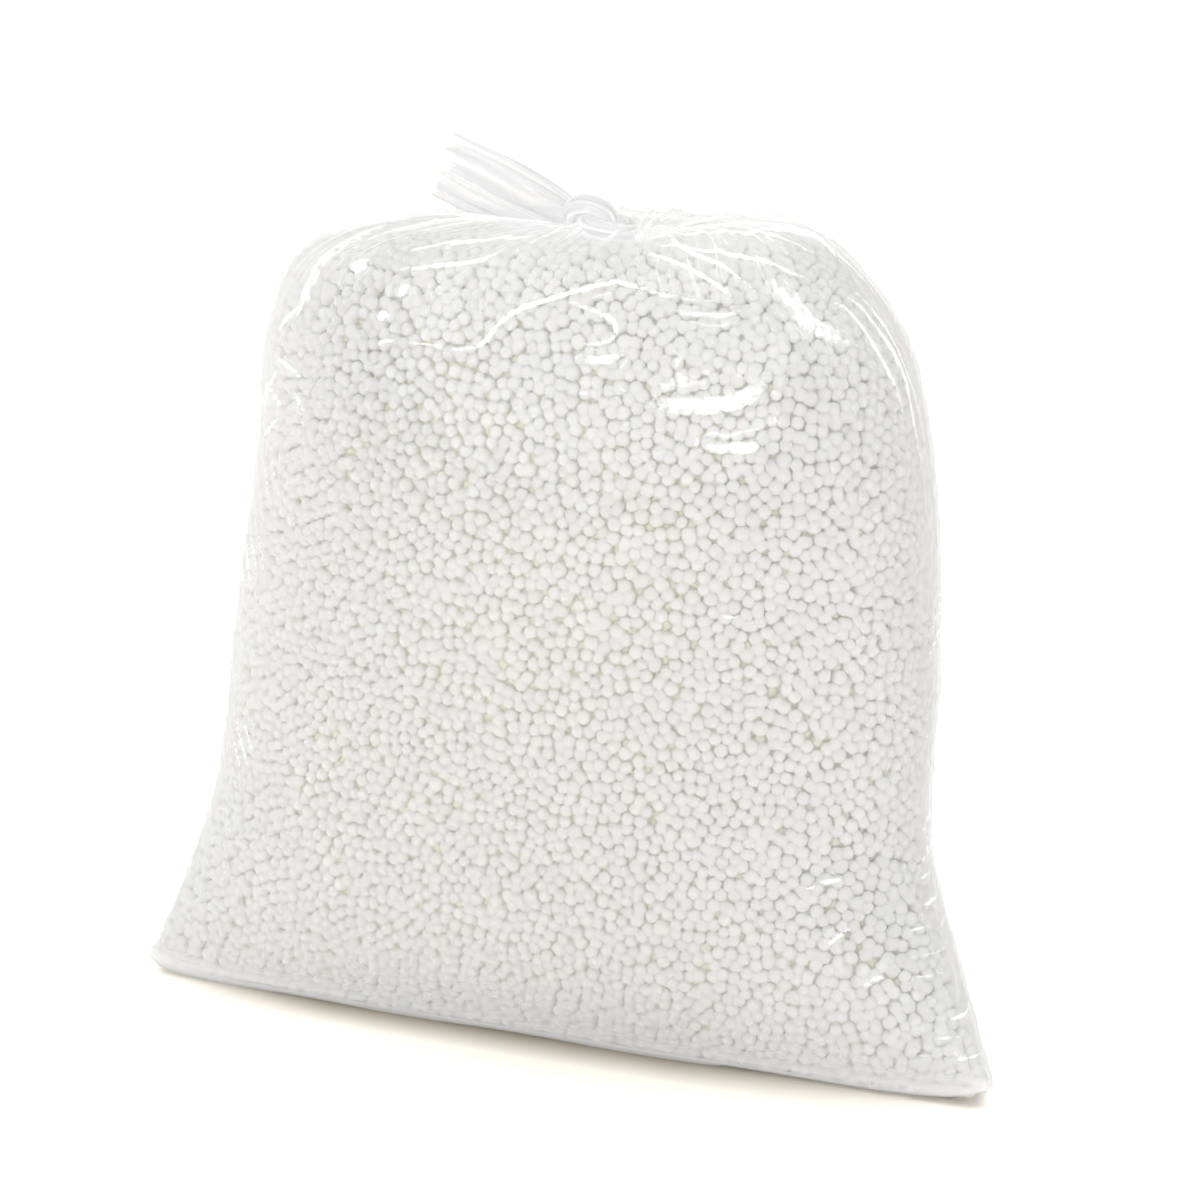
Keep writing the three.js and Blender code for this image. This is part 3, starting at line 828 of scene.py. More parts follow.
        # Painted pale glints along the crest and on the facet above it
        painted_line_glint = white * ends**0.4 * np.maximum(1 - best / GLINT_LINE_REACH, 0)
        painted_facet_glint = fill * ends**0.4 * np.minimum(1.6 - 0.8 * best / width, 1)
        self.mark[near] = np.maximum(self.mark[near], np.maximum(painted_line_glint, painted_facet_glint))

    def tent(self, corners, height, above, below):
        """A flat facet of film held off the beads, above a sharp lower edge; the facet is painted pale, a
        painted highlight.
        """
        self.crease_and_glint(corners, height, above, below, 2.2, 0.8, 0.72)

    def edge_wrinkles(self, height, pitch, lean, fold, middle, reach, low, high):
        """Fine slanting wrinkles in a band beside a side fold (0 left, 1 right), with painted pale glints on
        their crests.
        """
        across = (2 * self.girth - fold + 1) % 2 - 1
        e = across[None, :] * LAY_FLAT
        r = self.run[:, None]
        slow = 0.9 * np.sin(r / 17.0 + 2 * fold) + 0.8 * np.sin(r / 41.0 + e / 13.0)
        phase = 2 * math.pi * (np.abs(e) * math.cos(lean) + r * math.sin(lean)) / pitch + slow
        ridge = (0.5 + 0.5 * np.cos(phase)) ** 2.2
        patchy = 0.55 + 0.45 * np.sin(r / 23.0 + e / 19.0) * np.sin(r / 9.0 - e / 11.0)
        envelope = np.exp(-(((np.abs(e) - middle) / reach) ** 2)) * smooth_step(r, low, low + 40)
        envelope = envelope * (1 - smooth_step(r, high - 50, high))
        self.out += height * ridge * patchy * envelope
        # Painted pale glints on the wrinkles' crests
        self.mark = np.maximum(self.mark, ridge * patchy * envelope)

    def crinkles(self, height):
        """Small uneven crinkles everywhere."""
        x = self.girth[None, :] * 2 * LAY_FLAT
        y = np.broadcast_to(self.run[:, None], self.out.shape)
        total = np.zeros_like(self.out)
        for _ in range(26):
            way = self.random.uniform(0, 2 * math.pi)
            turns = np.round(2 * LAY_FLAT * math.cos(way) / self.random.uniform(9, 30))
            across = 2 * math.pi * turns / (2 * LAY_FLAT)
            upward = 2 * math.pi * math.sin(way) / self.random.uniform(9, 30)
            total += np.sin(across * x + upward * y + self.random.uniform(0, 6.28))
        self.out += height * (total / 2.6 + np.abs(total) / 3.0)

    def moved(self):
        """The points with all the folds put on."""
        return self.points + self.out[..., None] * self.normals


# Folds of the front that can be seen from some way off: shares across and runs up, from left to right
BROW_FOLD = ((0.324, 302), (0.376, 299), (0.445, 299), (0.476, 309), (0.508, 316), (0.609, 327),
             (0.639, 329), (0.711, 323), (0.799, 323))
SHOULDER_FOLD = ((0.832, 336), (0.842, 323), (0.848, 312), (0.871, 307), (0.909, 302))
LONG_FOLDS = (
    ((0.700, 368), (0.718, 355), (0.776, 340), (0.816, 324)),
    ((0.900, 412), (0.930, 385), (0.950, 364), (0.968, 346), (0.992, 327), (1.005, 313)),
    ((0.913, 326), (0.934, 318), (0.947, 305), (0.959, 286), (0.962, 267), (0.968, 248)),
    ((0.884, 324), (0.913, 316), (0.923, 302), (0.937, 283), (0.944, 269)),
    ((0.944, 327), (0.959, 312), (0.965, 294), (0.979, 277), (0.981, 261)),
    ((0.303, 329), (0.376, 333), (0.429, 338), (0.450, 346)),
    ((0.683, 318), (0.751, 316), (0.782, 318)),
)
FINE_FOLDS = (
    ((0.148, 296), (0.163, 303), (0.182, 309)),
    ((0.151, 286), (0.186, 283), (0.212, 279)),
    ((0.130, 262), (0.144, 271), (0.163, 281)),
    ((0.137, 274), (0.163, 269), (0.182, 264)),
    ((0.199, 274), (0.212, 269), (0.225, 264)),
    ((0.130, 249), (0.148, 254), (0.174, 262)),
    ((0.671, 370), (0.792, 378), (0.892, 368), (0.939, 344)),
    ((0.665, 359), (0.752, 353), (0.837, 344), (0.895, 328)),
    ((0.654, 352), (0.722, 341), (0.761, 330), (0.779, 322)),
    ((0.288, 340), (0.335, 350), (0.396, 357), (0.459, 365)),
    ((0.558, 302), (0.610, 305), (0.621, 312), (0.604, 316), (0.553, 321)),
    ((0.718, 200), (0.745, 198), (0.770, 198)),
    ((0.315, 297), (0.327, 299), (0.338, 299)),
    ((0.827, 86), (0.860, 90), (0.893, 92)),
    ((0.850, 62), (0.868, 67), (0.884, 71)),
    ((0.880, 45), (0.905, 50), (0.930, 52)),
)
BAND_FOLD = ((0.178, 302), (0.186, 312), (0.182, 328), (0.170, 344), (0.117, 366))
RIDGE_FOLD = ((0.110, 336), (0.118, 350), (0.106, 366), (0.060, 384), (0.0, 394))
# Facets that the tent paints pale, as painted highlights: corners, height and width above
FACETS = (
    (((0.632, 281), (0.697, 279), (0.755, 283), (0.790, 293)), 1.6, 5.5),
    (((0.690, 264), (0.744, 265), (0.775, 267)), 1.2, 3.6),
    (((0.563, 297), (0.602, 297), (0.626, 301)), 0.9, 2.4),
    (((0.244, 325), (0.268, 331)), 1.2, 4.2),
    (((0.329, 318), (0.351, 321)), 1.0, 3.2),
    (((0.313, 306), (0.324, 311)), 1.0, 3.0),
)
BACK_FOLDS = (
    ((1.180, 320), (1.320, 310), (1.470, 306), (1.620, 313), (1.740, 324)),
    ((1.240, 286), (1.350, 278), (1.460, 281)),
    ((1.560, 300), (1.660, 286), (1.780, 277)),
    ((1.820, 252), (1.900, 241), (1.980, 236)),
)
PUCKER_RUNS = (92, 84, 75, 66, 58, 49, 41, 33, 24, 16)


def dress_wall(wall, settings):
    """Puts every fold, facet, wrinkle and crinkle on the film wall, with the painted pale glints of the
    folds, facets and wrinkles.
    """
    wall.gather(settings.gather_folds)
    wall.crease_and_glint(BROW_FOLD, 2.2, 11.0, 2.0)
    # fill paints the facet above a fold pale, a painted highlight
    wall.crease_and_glint(SHOULDER_FOLD, 3.4, 5.5, 2.2, fill=0.67)
    wall.crease_and_glint(BAND_FOLD, 2.4, 3.5, 3.5, fill=0.64)
    wall.crease_and_glint(RIDGE_FOLD, 5.0, 3.0, 3.0, fill=0.64)
    for corners in LONG_FOLDS:
        wall.crease_and_glint(corners, 1.9, 2.2, 1.8, 1.2)
    for corners in FINE_FOLDS:
        wall.crease_and_glint(corners, 0.9, 1.5, 1.2, white=1.0)
    for corners in BACK_FOLDS:
        wall.crease_and_glint(corners, 2.4, 6.0, 3.0)
    for corners, height, above in FACETS:
        wall.tent(corners, height, above, 1.4)
    wall.crease_and_glint(((0.0, 283), (0.0, 300), (0.0, 316), (0.0, 332)), 6.5, 5.0, 5.0, 1.2)
    for run in PUCKER_RUNS:
        middle = wall.random.uniform(0.965, 1.0)
        half = wall.random.uniform(0.018, 0.042)
        slant = wall.random.uniform(-3, 3)
        corners = ((middle - half, run - slant), (middle, run), (middle + half, run + slant))
        wall.crease_and_glint(corners, wall.random.uniform(0.9, 1.9), 2.6, 1.8)
    wall.edge_wrinkles(0.7, 7.5, 0.55, 0, 50.0, 28.0, 45, 300)
    wall.edge_wrinkles(0.6, 8.0, 1.1, 1, 4.0, 20.0, 60, 290)
    wall.crinkles(settings.crinkle / MM)


def doubled_film(wall):
    """Extra layers where slack film lies double: above the brow fold, at the left and along the weld."""
    fold = np.array(BROW_FOLD)
    edge = np.interp(wall.front, fold[:, 0], fold[:, 1], left=fold[0, 1], right=fold[-1, 1])
    layers = np.zeros(wall.points.shape[:2])
    across = smooth_step(wall.front, 0.29, 0.35) * smooth_step(0.9 - wall.front, 0.0, 0.1)
    layers[:, :FRONT_COLUMNS] = 0.6 * smooth_step(wall.run[:, None] - edge[None, :], -1.0, 2.0) * across
    left = smooth_step(0.33 - wall.front, 0.0, 0.2) * 0.8
    high = smooth_step(wall.run, 200.0, 280.0)
    layers[:, :FRONT_COLUMNS] += left[None, :] * high[:, None]
    rim = 2.5 * np.exp(-((wall.run / 5.0) ** 2))
    misty = 0.35 * smooth_step(150 - wall.run, 0.0, 120.0)
    leftward = 1 - smooth_step(wall.front, 0.45, 0.75)
    layers[:, :FRONT_COLUMNS] += rim[:, None] + misty[:, None] * leftward[None, :]
    layers[:, :FRONT_COLUMNS] += 0.6 * smooth_step(wall.front, 0.6, 0.85)[None, :]
    return layers


def weld_rings(wall, settings):
    """Rings of the base and of the bare fin ahead of the weld, from the middle of the base outwards."""
    foot = loft(np.array([FOOT], float), wall.front, wall.back)[0]
    foot[:, 2] = 0.05
    centre = np.array([FOOT[1], (FOOT[4] - FOOT[3]) / 2, 0.05])
    rings = [centre + (foot - centre) * share for share in (0.12, 0.3, 0.5, 0.7, 0.86, 1.0)]
    edge = wall.points[0]
    count = FRONT_COLUMNS
    width = settings.weld_fin / MM
    across = np.zeros(len(wall.shares))
    across[:count] = smooth_step(wall.front, 0.0, 0.03) * smooth_step(1 - wall.front, 0.0, 0.03)
    step = 1 - 0.4 * smooth_step(wall.front, 0.70, 0.715)
    across[:count] *= step * (1 + 0.15 * np.sin(23 * wall.front))
    fin = np.maximum(width * across, 0.4)
    outward = edge - np.array([FOOT[1], 0, 0])
    outward[:, 2] = 0
    outward[:count] = (0, -1, 0)
    outward /= np.linalg.norm(outward, axis=1, keepdims=True)
    under = edge + outward * 0.2
    under[:, 2] -= 0.4
    tip = edge + outward * fin[:, None]
    tip[:, 2] -= 0.3 + 0.3 * across
    middle = (foot + under) / 2
    middle[:, 2] = foot[:, 2] + 0.35 * (under[:, 2] - foot[:, 2])
    return rings, [middle, under, tip], centre


# Strand, overhand knot and tail
STRAND_DIAMETER = 7.0
STRAND_STEP = 1.9
# Film layers in the strand and the tail; the material paints film greyer where many layers lie, partly
# painted shade
STRAND_LAYERS = 7.0
TAIL_LAYERS = 7.4
NECK_POINT = np.array([27.0, -16.0, 333.0])
NECK_STEM = 0.2
TAIL_RISE = math.radians(23)
KNOT_LEAN = math.radians(65)
KNOT_RING = 1.2 * STRAND_DIAMETER
KNOT_TUBE = 0.57 * STRAND_DIAMETER
TAIL_LENGTH = 70.0
TAIL_HALF_WIDTH = 14.5
TAIL_HALF_DEPTH = 7.0
TAIL_WAY = np.array([-math.cos(TAIL_RISE), 0, math.sin(TAIL_RISE)])
TAIL_SIDE = np.array([math.sin(TAIL_RISE), 0, math.cos(TAIL_RISE)])
TAIL_FACE = np.cross(TAIL_WAY, TAIL_SIDE)


def knot_point(middle, turn):
    """Point of the overhand knot's path at a turn."""
    ring = KNOT_RING
    tube = KNOT_TUBE
    lobe = TAIL_SIDE * math.cos(KNOT_LEAN) - TAIL_FACE * math.sin(KNOT_LEAN)
    axis = np.cross(TAIL_WAY, lobe)
    held = min(max(turn, math.pi / 3), 4 * math.pi - math.pi / 3)
    radius = ring + tube * math.cos(1.5 * turn)
    return (middle + TAIL_WAY * radius * math.sin(turn) + lobe * (ring + tube - radius * math.cos(turn))
            + axis * tube * (math.sin(1.5 * held) - 1))


def strand_path():
    """Points and frames along the strand: up out of the choke, over, round the knot and out to the tail."""
    bend = 0.85 * STRAND_DIAMETER
    lead = 0.6 * STRAND_DIAMETER
    start = NECK_POINT + (0, 0, NECK_STEM)
    points = [NECK_POINT, start]
    for i in range(1, 5):
        angle = (math.pi / 2 - TAIL_RISE) * i / 4
        points.append(start + np.array([-bend * (1 - math.cos(angle)), 0, bend * math.sin(angle)]))
    middle = points[-1] + TAIL_WAY * lead
    points += [knot_point(middle, 4 * math.pi * i / 48) for i in range(49)]
    points.append(points[-1] + TAIL_WAY * 1.5 * lead)
    points = np.array(points)
    run = np.concatenate([[0], np.cumsum(np.linalg.norm(np.diff(points, axis=0), axis=1))])
    at = np.linspace(0, run[-1], int(run[-1] / STRAND_STEP))
    spine = spline(run, points, at)
    way = np.gradient(spine, axis=0)
    way /= np.linalg.norm(way, axis=1, keepdims=True)
    axis = np.array([1.0, 0, 0])
    axes = []
    for i in range(len(spine)):
        axis = axis - way[i] * axis.dot(way[i])
        axis = axis / np.linalg.norm(axis)
        axes.append(axis)
    axes = np.array(axes)
    across = np.cross(way, axes)
    twist = math.atan2(TAIL_SIDE.dot(across[-1]), TAIL_SIDE.dot(axes[-1]))
    angle = (twist * np.linspace(0, 1, len(spine)))[:, None]
    turned = axes * np.cos(angle) + across * np.sin(angle)
    return spine, turned, np.cross(way, turned), at


def strand_rings(path, random):
    """Rings of the bunched strand, creased along its length, each with its layers of film."""
    spine, axes, across, run = path
    angle = np.linspace(0, 2 * math.pi, STRAND_COLUMNS, endpoint=False)
    phases = random.uniform(0, 6.28, 4)
    rings = []
    for i in range(len(spine)):
        ruffle = 0.11 * np.cos(6 * angle + phases[0] + 0.05 * run[i])
        ruffle += 0.08 * np.cos(11 * angle + phases[1] - 0.09 * run[i])
        ruffle += 0.08 * np.cos(3 * angle + phases[2] + 0.13 * run[i])
        swell = 1.0 + 0.1 * math.sin(0.21 * run[i] + phases[3])
        radius = STRAND_DIAMETER / 2 * swell * (1.02 + ruffle)
        over = axes[i] * (radius * np.cos(angle))[:, None]
        ring = spine[i] + over + across[i] * (radius * np.sin(angle))[:, None]
        # Valleys of the ruffle get more layers, which the material paints greyer: painted shade in the
        # valleys
        rings.append((ring, STRAND_LAYERS - 9 * ruffle))
    return rings


def tail_rings(path, random):
    """Rings of the tail, each with its layers: the strand opens into a flat, pleated, uneven fan."""
    spine, axes, across, _ = path
    angle = np.linspace(0, 2 * math.pi, TAIL_COLUMNS, endpoint=False)
    start = spine[-1]
    phases = random.uniform(0, 6.28, 8)
    ragged = 2.2 * np.sin(5 * angle + phases[0]) + 1.8 * np.sin(9 * angle + phases[1])
    ragged += 1.2 * np.sin(17 * angle + phases[2])
    rings = []
    for share in np.linspace(0.03, 1.0, 30):
        opened = 1 - (1 - share) ** 6
        half = STRAND_DIAMETER / 2 + (TAIL_HALF_WIDTH - STRAND_DIAMETER / 2) * opened
        thick = STRAND_DIAMETER / 2 + (TAIL_HALF_DEPTH - STRAND_DIAMETER / 2) * opened
        pleat = 0.36 * np.cos(9 * angle + phases[3] + 2.2 * share)
        pleat += 0.22 * np.cos(16 * angle + phases[4] - 3.1 * share)
        pleat += 0.08 * np.cos(27 * angle + phases[5] + 5.0 * share)
        reach = 1 - opened * (0.25 + 0.32 * pleat)
        wave = 1.6 * opened * np.sin(9 * share + 3 * np.cos(angle) + phases[6])
        centre = start + TAIL_WAY * (TAIL_LENGTH * share)
        along = half * np.cos(angle) * (0.62 + 0.38 * reach)
        deep = thick * np.sin(angle) * reach + wave
        ring = centre + axes[-1] * along[:, None] + across[-1] * deep[:, None]
        ring = ring + TAIL_WAY * (ragged * opened * 0.5 - 3.0 * opened)[:, None]
        # The tail's layers, which the material paints greyer, follow the pleats and fall towards the mouth:
        # partly real layers of film, partly painted shade
        rings.append((ring, TAIL_LAYERS - 1.8 * pleat * opened - 0.6 * share))
    return rings


def film_piece(settings):
    """The whole film as one skin, from the base to the open mouth of the tail."""
    wall = FilmWall(settings)
    dress_wall(wall, settings)
    shift = bag_shift()
    skin = SkinBuilder()
    girth = np.concatenate([wall.girth, [1.0]]) * 2 * LAY_FLAT
    base, fin, centre = weld_rings(wall, settings)
    ids = [skin.add_ring(ring + shift) for ring in base]
    skin.close(ids[0], centre + shift, False)
    runs = list(np.linspace(-80, -9, len(ids)))
    ids += [skin.add_ring(ring + shift, 3.5 if i else 1.0) for i, ring in enumerate(fin)]
    runs += [-6, -4, -2]
    near_fold = np.exp(-((np.minimum(wall.shares, 1 - wall.shares) * LAY_FLAT / 6.0) ** 2))
    doubled = doubled_film(wall)
    for row, ring in enumerate(wall.moved()):
        bunched = 0.8 * wall.slack[row] + 3.0 * wall.slack[row] ** 4
        layers = 1.0 + 0.8 * near_fold + bunched + doubled[row]
        # The wall's painted pale glints go with its rings
        ids.append(skin.add_ring(ring + shift, layers, wall.mark[row]))
    runs += list(wall.run)
    for i in range(len(ids) - 1):
        skin.join_even(ids[i], ids[i + 1], girth, runs[i], runs[i + 1])
    path = strand_path()
    last = ids[-1]
    run = runs[-1]
    for ring, layers in strand_rings(path, wall.random):
        new = skin.add_ring(ring + shift, layers)
        join_rings(skin, last, new, run)
        last = new
        run += STRAND_STEP
    tail = tail_rings(path, wall.random)
    for ring, layers in tail:
        new = skin.add_ring(ring + shift, layers)
        join_rings(skin, last, new, run)
        last = new
        run += TAIL_LENGTH / len(tail)
    return skin.object("film_bag", "film", True)


def join_rings(skin, lower, upper, run):
    """Joins two rings, by four-sided faces where their counts match."""
    if len(lower) == len(upper):
        skin.join_even(lower, upper, np.linspace(0, 2 * LAY_FLAT, len(lower) + 1), run, run + STRAND_STEP)
    else:
        skin.join_uneven(lower, upper, 2 * LAY_FLAT, run, run + STRAND_STEP)


def film_material(settings):
    """Clear glossy film: see-through, with a mirror that grows towards its edges and a thin pale haze. It
    has painted pale glints along its creases, facets and loose folds, and is greyer where many layers lie,
    partly painted shade in the knot and tail.
    """
    material, tree = new_material("clear_film")
    uv = add(tree, "ShaderNodeUVMap", uv_map="film").outputs[0]
    stretched = add(tree, "ShaderNodeMapping", {"Vector": uv, "Scale": (1.0, 0.35, 1.0)})
    ripples = noise(tree, stretched.outputs[0], 60.0, 1.0, Roughness=0.55)
    bump = add(tree, "ShaderNodeBump", {"Height": ripples, "Strength": 0.1, "Distance": 0.002})
    facing = add(tree, "ShaderNodeLayerWeight", {"Blend": 0.5, "Normal": bump.outputs[0]}).outputs["Facing"]
    mirror = math_node(tree, "MULTIPLY_ADD", math_node(tree, "POWER", facing, 5.0), 0.85, 0.07)
    layers = add(tree, "ShaderNodeAttribute", attribute_name="layers").outputs["Fac"]
    # Painted pale glints of the creases and facets, partly the whitening of creased film
    crease_and_glint = add(tree, "ShaderNodeAttribute", attribute_name="crease_and_glint").outputs["Fac"]
    square_on = math_node(tree, "MAXIMUM", math_node(tree, "SUBTRACT", 1.0, facing), 0.15)
    depth = math_node(tree, "DIVIDE", layers, math_node(tree, "POWER", square_on, 0.7))
    scattered = math_node(tree, "SUBTRACT", 1.0, math_node(tree, "POWER", 1.0 - settings.haze, depth))
    # Thin painted glint lines where the film lies loose, none near the weld
    threads = add(tree, "ShaderNodeMapping",
                  {"Vector": uv, "Rotation": (0.0, 0.0, 0.12), "Scale": (1.0, 0.09, 1.0)})
    crumple = noise(tree, threads.outputs[0], 95.0, 1.0, Distortion=0.6)
    off_crest = math_node(tree, "ABSOLUTE", math_node(tree, "SUBTRACT", crumple, 0.5))
    painted_streak = ramp(tree, off_crest, 0.0, 0.014, 1.0, 0.0)
    loose = ramp(tree, layers, 1.62, 2.4)
    off_weld = ramp(tree, add(tree, "ShaderNodeSeparateXYZ", {0: uv}).outputs[1], 0.02, 0.04)
    glint_streak_lines = math_node(tree, "MULTIPLY", math_node(tree, "MULTIPLY", painted_streak, loose), off_weld)
    # Ragged edges of the painted pale glints, and the share of painted white they give
    uneven = noise(tree, uv, 260.0, 1.0)
    ragged = math_node(tree, "ADD", crease_and_glint, math_node(tree, "MULTIPLY_ADD", uneven, 0.44, -0.22))
    painted_crest_glint = ramp(tree, ragged, 0.54, 0.78, 0.0, 0.8)
    glint_paint_share = math_node(tree, "MAXIMUM", math_node(tree, "MULTIPLY", glint_streak_lines, 0.45), painted_crest_glint)
    haze = math_node(tree, "MINIMUM", scattered, 0.95)
    # Greyer where many layers lie, in the knot and tail: partly the real layers of film, partly painted
    # shade, since the film casts no shadow on itself
    bunched = ramp(tree, layers, 5.0, 8.0)
    shade = add(tree, "ShaderNodeMix", {"Factor": bunched, "A": (0.978, 0.979, 0.988, 1.0),
                                        "B": (0.68, 0.68, 0.7, 1.0)}, data_type="RGBA").outputs["Result"]
    clear = add(tree, "ShaderNodeBsdfTransparent", {"Color": (0.985, 0.988, 0.99, 1.0)})
    gloss = add(tree, "ShaderNodeBsdfGlossy",
                {"Color": (1.0, 1.0, 1.0, 1.0), "Roughness": 0.06, "Normal": bump.outputs[0]})
    shiny = mixed(tree, mirror, clear, gloss)
    dull = add(tree, "ShaderNodeBsdfDiffuse", {"Color": shade})
    glow = add(tree, "ShaderNodeBsdfTranslucent", {"Color": shade})
    hazy = mixed(tree, haze, shiny, mixed(tree, 0.5, dull, glow))
    # Pale white shown by the painted glints
    white = add(tree, "ShaderNodeBsdfDiffuse", {"Color": (0.985, 0.985, 0.99, 1.0)})
    finish_material(tree, mixed(tree, glint_paint_share, hazy, white))
    return material


# Stage

def area_light(name, place, target, size, energy):
    """A soft box that faces the target."""
    light = bpy.data.lights.new(name, "AREA")
    light.shape = "RECTANGLE"
    light.size, light.size_y = size
    light.energy = energy
    lamp = bpy.data.objects.new(name, light)
    bpy.context.scene.collection.objects.link(lamp)
    lamp.location = place
    lamp.rotation_euler = (Vector(target) - Vector(place)).to_track_quat("-Z", "Y").to_euler()
    return lamp


def studio_world():
    """White surroundings for the camera, soft fill for matte surfaces, darker ones for reflections."""
    world = bpy.data.worlds.new("studio")
    world.use_nodes = True
    tree = world.node_tree
    tree.nodes.clear()
    path = add(tree, "ShaderNodeLightPath")
    way = add(tree, "ShaderNodeTexCoord").outputs["Generated"]
    behind = vector_node(tree, "DOT_PRODUCT", way, (0.0, 0.95, 0.3))
    soft = ramp(tree, behind, -0.8, 0.6, 0.45, 0.85)
    shade = ramp(tree, behind, -0.8, 0.6, 0.62, 1.0)
    fill = add(tree, "ShaderNodeBackground", {"Color": (1.0, 0.995, 0.985, 1.0), "Strength": soft})
    mirror = add(tree, "ShaderNodeBackground", {"Strength": shade})
    white = add(tree, "ShaderNodeBackground", {"Color": (1.0, 1.0, 1.0, 1.0), "Strength": 1.05})
    around = mixed(tree, path.outputs["Is Glossy Ray"], fill, mirror)
    seen = mixed(tree, path.outputs["Is Camera Ray"], around, white)
    output = tree.nodes.new("ShaderNodeOutputWorld")
    tree.links.new(seen.outputs[0], output.inputs["Surface"])
    bpy.context.scene.world = world


def floor_material(colour):
    """Matte white studio paper with a painted shadow in the narrow gap under the weld and just ahead of it,
    in place of the shadow that the film doesn't cast.
    """
    material, tree = new_material("studio_paper")
    place = add(tree, "ShaderNodeTexCoord").outputs["Object"]
    x, y, _ = add(tree, "ShaderNodeSeparateXYZ", {0: place}).outputs
    # Painted contact shadow: darkest under the weld, fading out 26 mm ahead of it and towards the ears
    painted_contact_shadow = ramp(tree, y, -0.082, -0.056)
    for value, start, end in ((y, -0.02, -0.04), (x, -0.19, -0.1), (x, 0.17, 0.06)):
        painted_contact_shadow = math_node(tree, "MULTIPLY", painted_contact_shadow, ramp(tree, value, start, end))
    painted_shadow_colour = tuple(share * part for share, part in zip(colour, (0.32, 0.28, 0.21)))
    shadow_painted_paper = add(tree, "ShaderNodeMix", {"Factor": painted_contact_shadow, "A": (*colour, 1.0), "B": (*painted_shadow_colour, 1.0)},
               data_type="RGBA").outputs["Result"]
    paper = add(tree, "ShaderNodeBsdfDiffuse", {"Color": shadow_painted_paper})
    flagged = add(tree, "ShaderNodeBsdfDiffuse", {"Color": (0.62, 0.61, 0.59, 1.0)})
    path = add(tree, "ShaderNodeLightPath")
    finish_material(tree, mixed(tree, path.outputs["Is Camera Ray"], flagged, paper))
    return material


# Operators

class BEADBAG_OT_core(Operator):
    """Make the closed middle of the heap, behind the beads"""

    bl_idname = "bead_bag.core"
    bl_label = "Heap Core"

    # How far behind the film the core lies, in bead diameters
    INSET = 0.92

    def execute(self, context):
        settings = context.scene.bead_settings
        core = heap_piece("heap_core", self.INSET * settings.diameter / MM)
        # The core wears the painted gap colour, painted light from the beads round it
        core.data.materials.append(foam_material("painted_gap_core_foam", settings.painted_gap_colour, 0.04, 0.0))
        hand_over(core, "bead_fill")
        return {"FINISHED"}


class BEADBAG_OT_beads(Operator):
    """Make the loose beads that lie against the film, and the ones just behind them"""

    bl_idname = "bead_bag.beads"
    bl_label = "Beads"

    # Soft beads press flat where they touch, so each is drawn this much wider than it packs
    SWELL = 1.025
    # How deep behind the film the first layer and the hidden beads lie, in diameters
    FIRST_LAYER = 0.4
    DEEPEST = 0.66

    def execute(self, context):
        settings = context.scene.bead_settings
        foam = foam_material("bead_foam", settings.colour, 0.04, cells=0.1)
        # The hidden beads wear the painted gap colour, painted light from the beads round them
        deep = foam_material("painted_gap_foam", settings.painted_gap_colour, 0.04)
        inside = heap_piece("inside_of_film", settings.clearance / MM)
        pile = BeadPile(inside, settings)
        pile.settle(settings.settling)
        part = heap_part(pile.places)
        outer = pile.sunk < self.FIRST_LAYER * settings.diameter
        kept = pile.sunk < self.DEEPEST * settings.diameter
        seen = pile.points("bead_places", outer, part)
        hidden = pile.points("hidden_places", ~outer & kept, part)
        fine = bead_tree("Front Bead Shapes", 8, 5)
        plain = bead_tree("Back Bead Shapes", 8, 4)
        coarse = bead_tree("Hidden Bead Shapes", 5, 3)
        for number, name in enumerate(PARTS):
            tree = fine if name.startswith("front") else plain
            self.make("beads_" + name, seen, tree, number, number, foam)
        self.make("beads_behind", hidden, coarse, 0, len(PARTS) - 1, deep)
        for helper in (inside, seen, hidden):
            bpy.data.objects.remove(helper)
        return {"FINISHED"}

    def make(self, name, places, tree, low, high, foam):
        """Puts beads on the places in some parts of the heap, as one piece."""
        settings = bpy.context.scene.bead_settings
        inputs = {"Diameter": self.SWELL * settings.diameter, "Material": foam}
        inputs.update({"Part From": low, "Part To": high})
        hand_over(link_piece(name, run_tree(name, places, tree, inputs)), "bead_fill")


class BEADBAG_OT_film(Operator):
    """Make the clear film bag with its weld, gathers, knot and tail"""

    bl_idname = "bead_bag.film"
    bl_label = "Film Bag"

    def execute(self, context):
        settings = context.scene.film_settings
        film = film_piece(settings)
        film.data.materials.append(film_material(settings))
        for kind in ("shadow", "diffuse", "glossy", "transmission"):
            setattr(film, "visible_" + kind, False)
        hand_over(film, "bag_film")
        return {"FINISHED"}


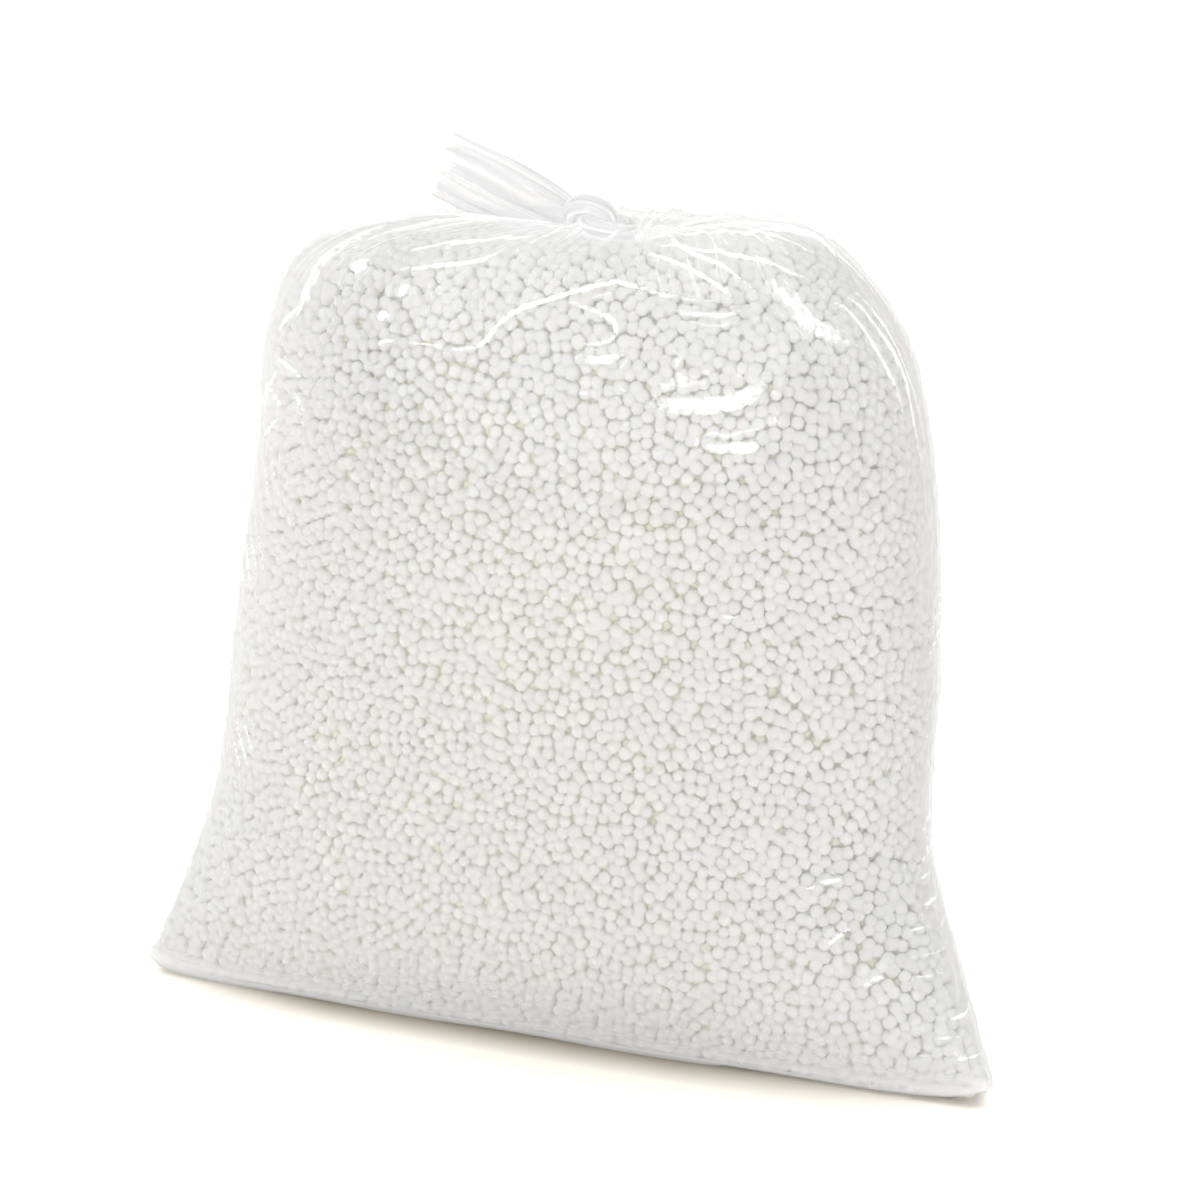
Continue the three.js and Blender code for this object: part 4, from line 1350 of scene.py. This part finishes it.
class BEADBAG_OT_stage(Operator):
    """Make the floor, the soft light, the surroundings and the camera"""

    bl_idname = "bead_bag.stage"
    bl_label = "Stage"

    def execute(self, context):
        settings = context.scene.stage_settings
        mesh = bpy.data.meshes.new("studio_floor")
        reach = 40.0
        corners = [(-reach, -reach, 0), (reach, -reach, 0), (reach, reach, 0), (-reach, reach, 0)]
        mesh.from_pydata(corners, [], [(0, 1, 2, 3)])
        floor = link_piece("studio_floor", mesh)
        floor.location = (0, 0, -0.0002)
        mesh.materials.append(floor_material(settings.floor))
        middle = (0.0, 0.0, 0.18)
        self.sole_light(context, "overhead", 2.2, 75, (-8, -6, 0), floor)
        self.sole_light(context, "film_light", 1.1, 70, (58, 0, -4), bpy.data.objects["film_bag"])
        area_light("spark_box", (0.37, -2.05, 0.95), middle, (0.9, 0.24), 2.0)
        for name, place, size, energy in (
                ("top_box", (-0.1, 0.2, 1.5), (1.4, 1.0), 4.0),
                ("key_box", (-0.5, -2.0, 0.6), (0.9, 0.6), 12.6),
                ("right_strip", (1.3, -0.3, 0.6), (0.25, 1.2), 2.8),
                ("left_strip", (-1.3, 0.1, 0.6), (0.25, 1.2), 2.8)):
            area_light(name, place, middle, size, energy).visible_glossy = False
        studio_world()
        self.camera(context, settings)
        context.scene.view_settings.view_transform = "Standard"
        context.scene.cycles.transparent_max_bounces = 16
        context.scene.cycles.diffuse_bounces = 6
        context.scene.cycles.max_bounces = 8
        context.scene.cycles.denoising_input_passes = "RGB_ALBEDO"
        return {"FINISHED"}

    def sole_light(self, context, name, energy, spread, turn, piece):
        """Broad light that falls on one piece alone: it keeps the paper white, or the film's haze pale."""
        light = bpy.data.lights.new(name, "SUN")
        light.energy = energy
        light.angle = math.radians(spread)
        lamp = bpy.data.objects.new(name, light)
        context.scene.collection.objects.link(lamp)
        lamp.rotation_euler = [math.radians(angle) for angle in turn]
        lit = bpy.data.collections.new(name + "_only")
        lit.objects.link(piece)
        lamp.light_linking.receiver_collection = lit

    def camera(self, context, settings):
        """Sets the camera at the photograph's angle."""
        data = bpy.data.cameras.new("camera")
        data.lens = settings.lens
        data.sensor_width = 36.0
        camera = bpy.data.objects.new("camera", data)
        context.scene.collection.objects.link(camera)
        away = Vector((math.sin(settings.azimuth) * math.cos(settings.elevation),
                       -math.cos(settings.azimuth) * math.cos(settings.elevation),
                       math.sin(settings.elevation)))
        camera.location = Vector(settings.target) + away * settings.distance
        camera.rotation_euler = away.to_track_quat("Z", "Y").to_euler()
        context.scene.camera = camera


class BEADBAG_PT_panel(Panel):
    """Lists the pieces and their settings"""

    bl_idname = "BEADBAG_PT_panel"
    bl_label = "Bead Bag"
    bl_space_type = "VIEW_3D"
    bl_region_type = "UI"
    bl_category = "Bead Bag"

    def draw(self, context):
        layout = self.layout
        for operator, owner in STEPS:
            settings = getattr(context.scene, owner)
            column = layout.column(align=True)
            column.operator(operator)
            for name in settings.__annotations__:
                column.prop(settings, name)


STEPS = (
    ("bead_bag.core", "bead_settings"),
    ("bead_bag.beads", "bead_settings"),
    ("bead_bag.film", "film_settings"),
    ("bead_bag.stage", "stage_settings"),
)
CLASSES = (
    BeadSettings, FilmSettings, StageSettings, BEADBAG_OT_core, BEADBAG_OT_beads, BEADBAG_OT_film,
    BEADBAG_OT_stage, BEADBAG_PT_panel)


def register():
    for cls in CLASSES:
        bpy.utils.register_class(cls)
    bpy.types.Scene.bead_settings = PointerProperty(type=BeadSettings)
    bpy.types.Scene.film_settings = PointerProperty(type=FilmSettings)
    bpy.types.Scene.stage_settings = PointerProperty(type=StageSettings)


def unregister():
    del bpy.types.Scene.stage_settings
    del bpy.types.Scene.film_settings
    del bpy.types.Scene.bead_settings
    for cls in reversed(CLASSES):
        bpy.utils.unregister_class(cls)


def main():
    register()
    bpy.ops.bead_bag.core()
    bpy.ops.bead_bag.beads()
    bpy.ops.bead_bag.film()
    bpy.ops.bead_bag.stage()


if __name__ == "__main__":
    main()
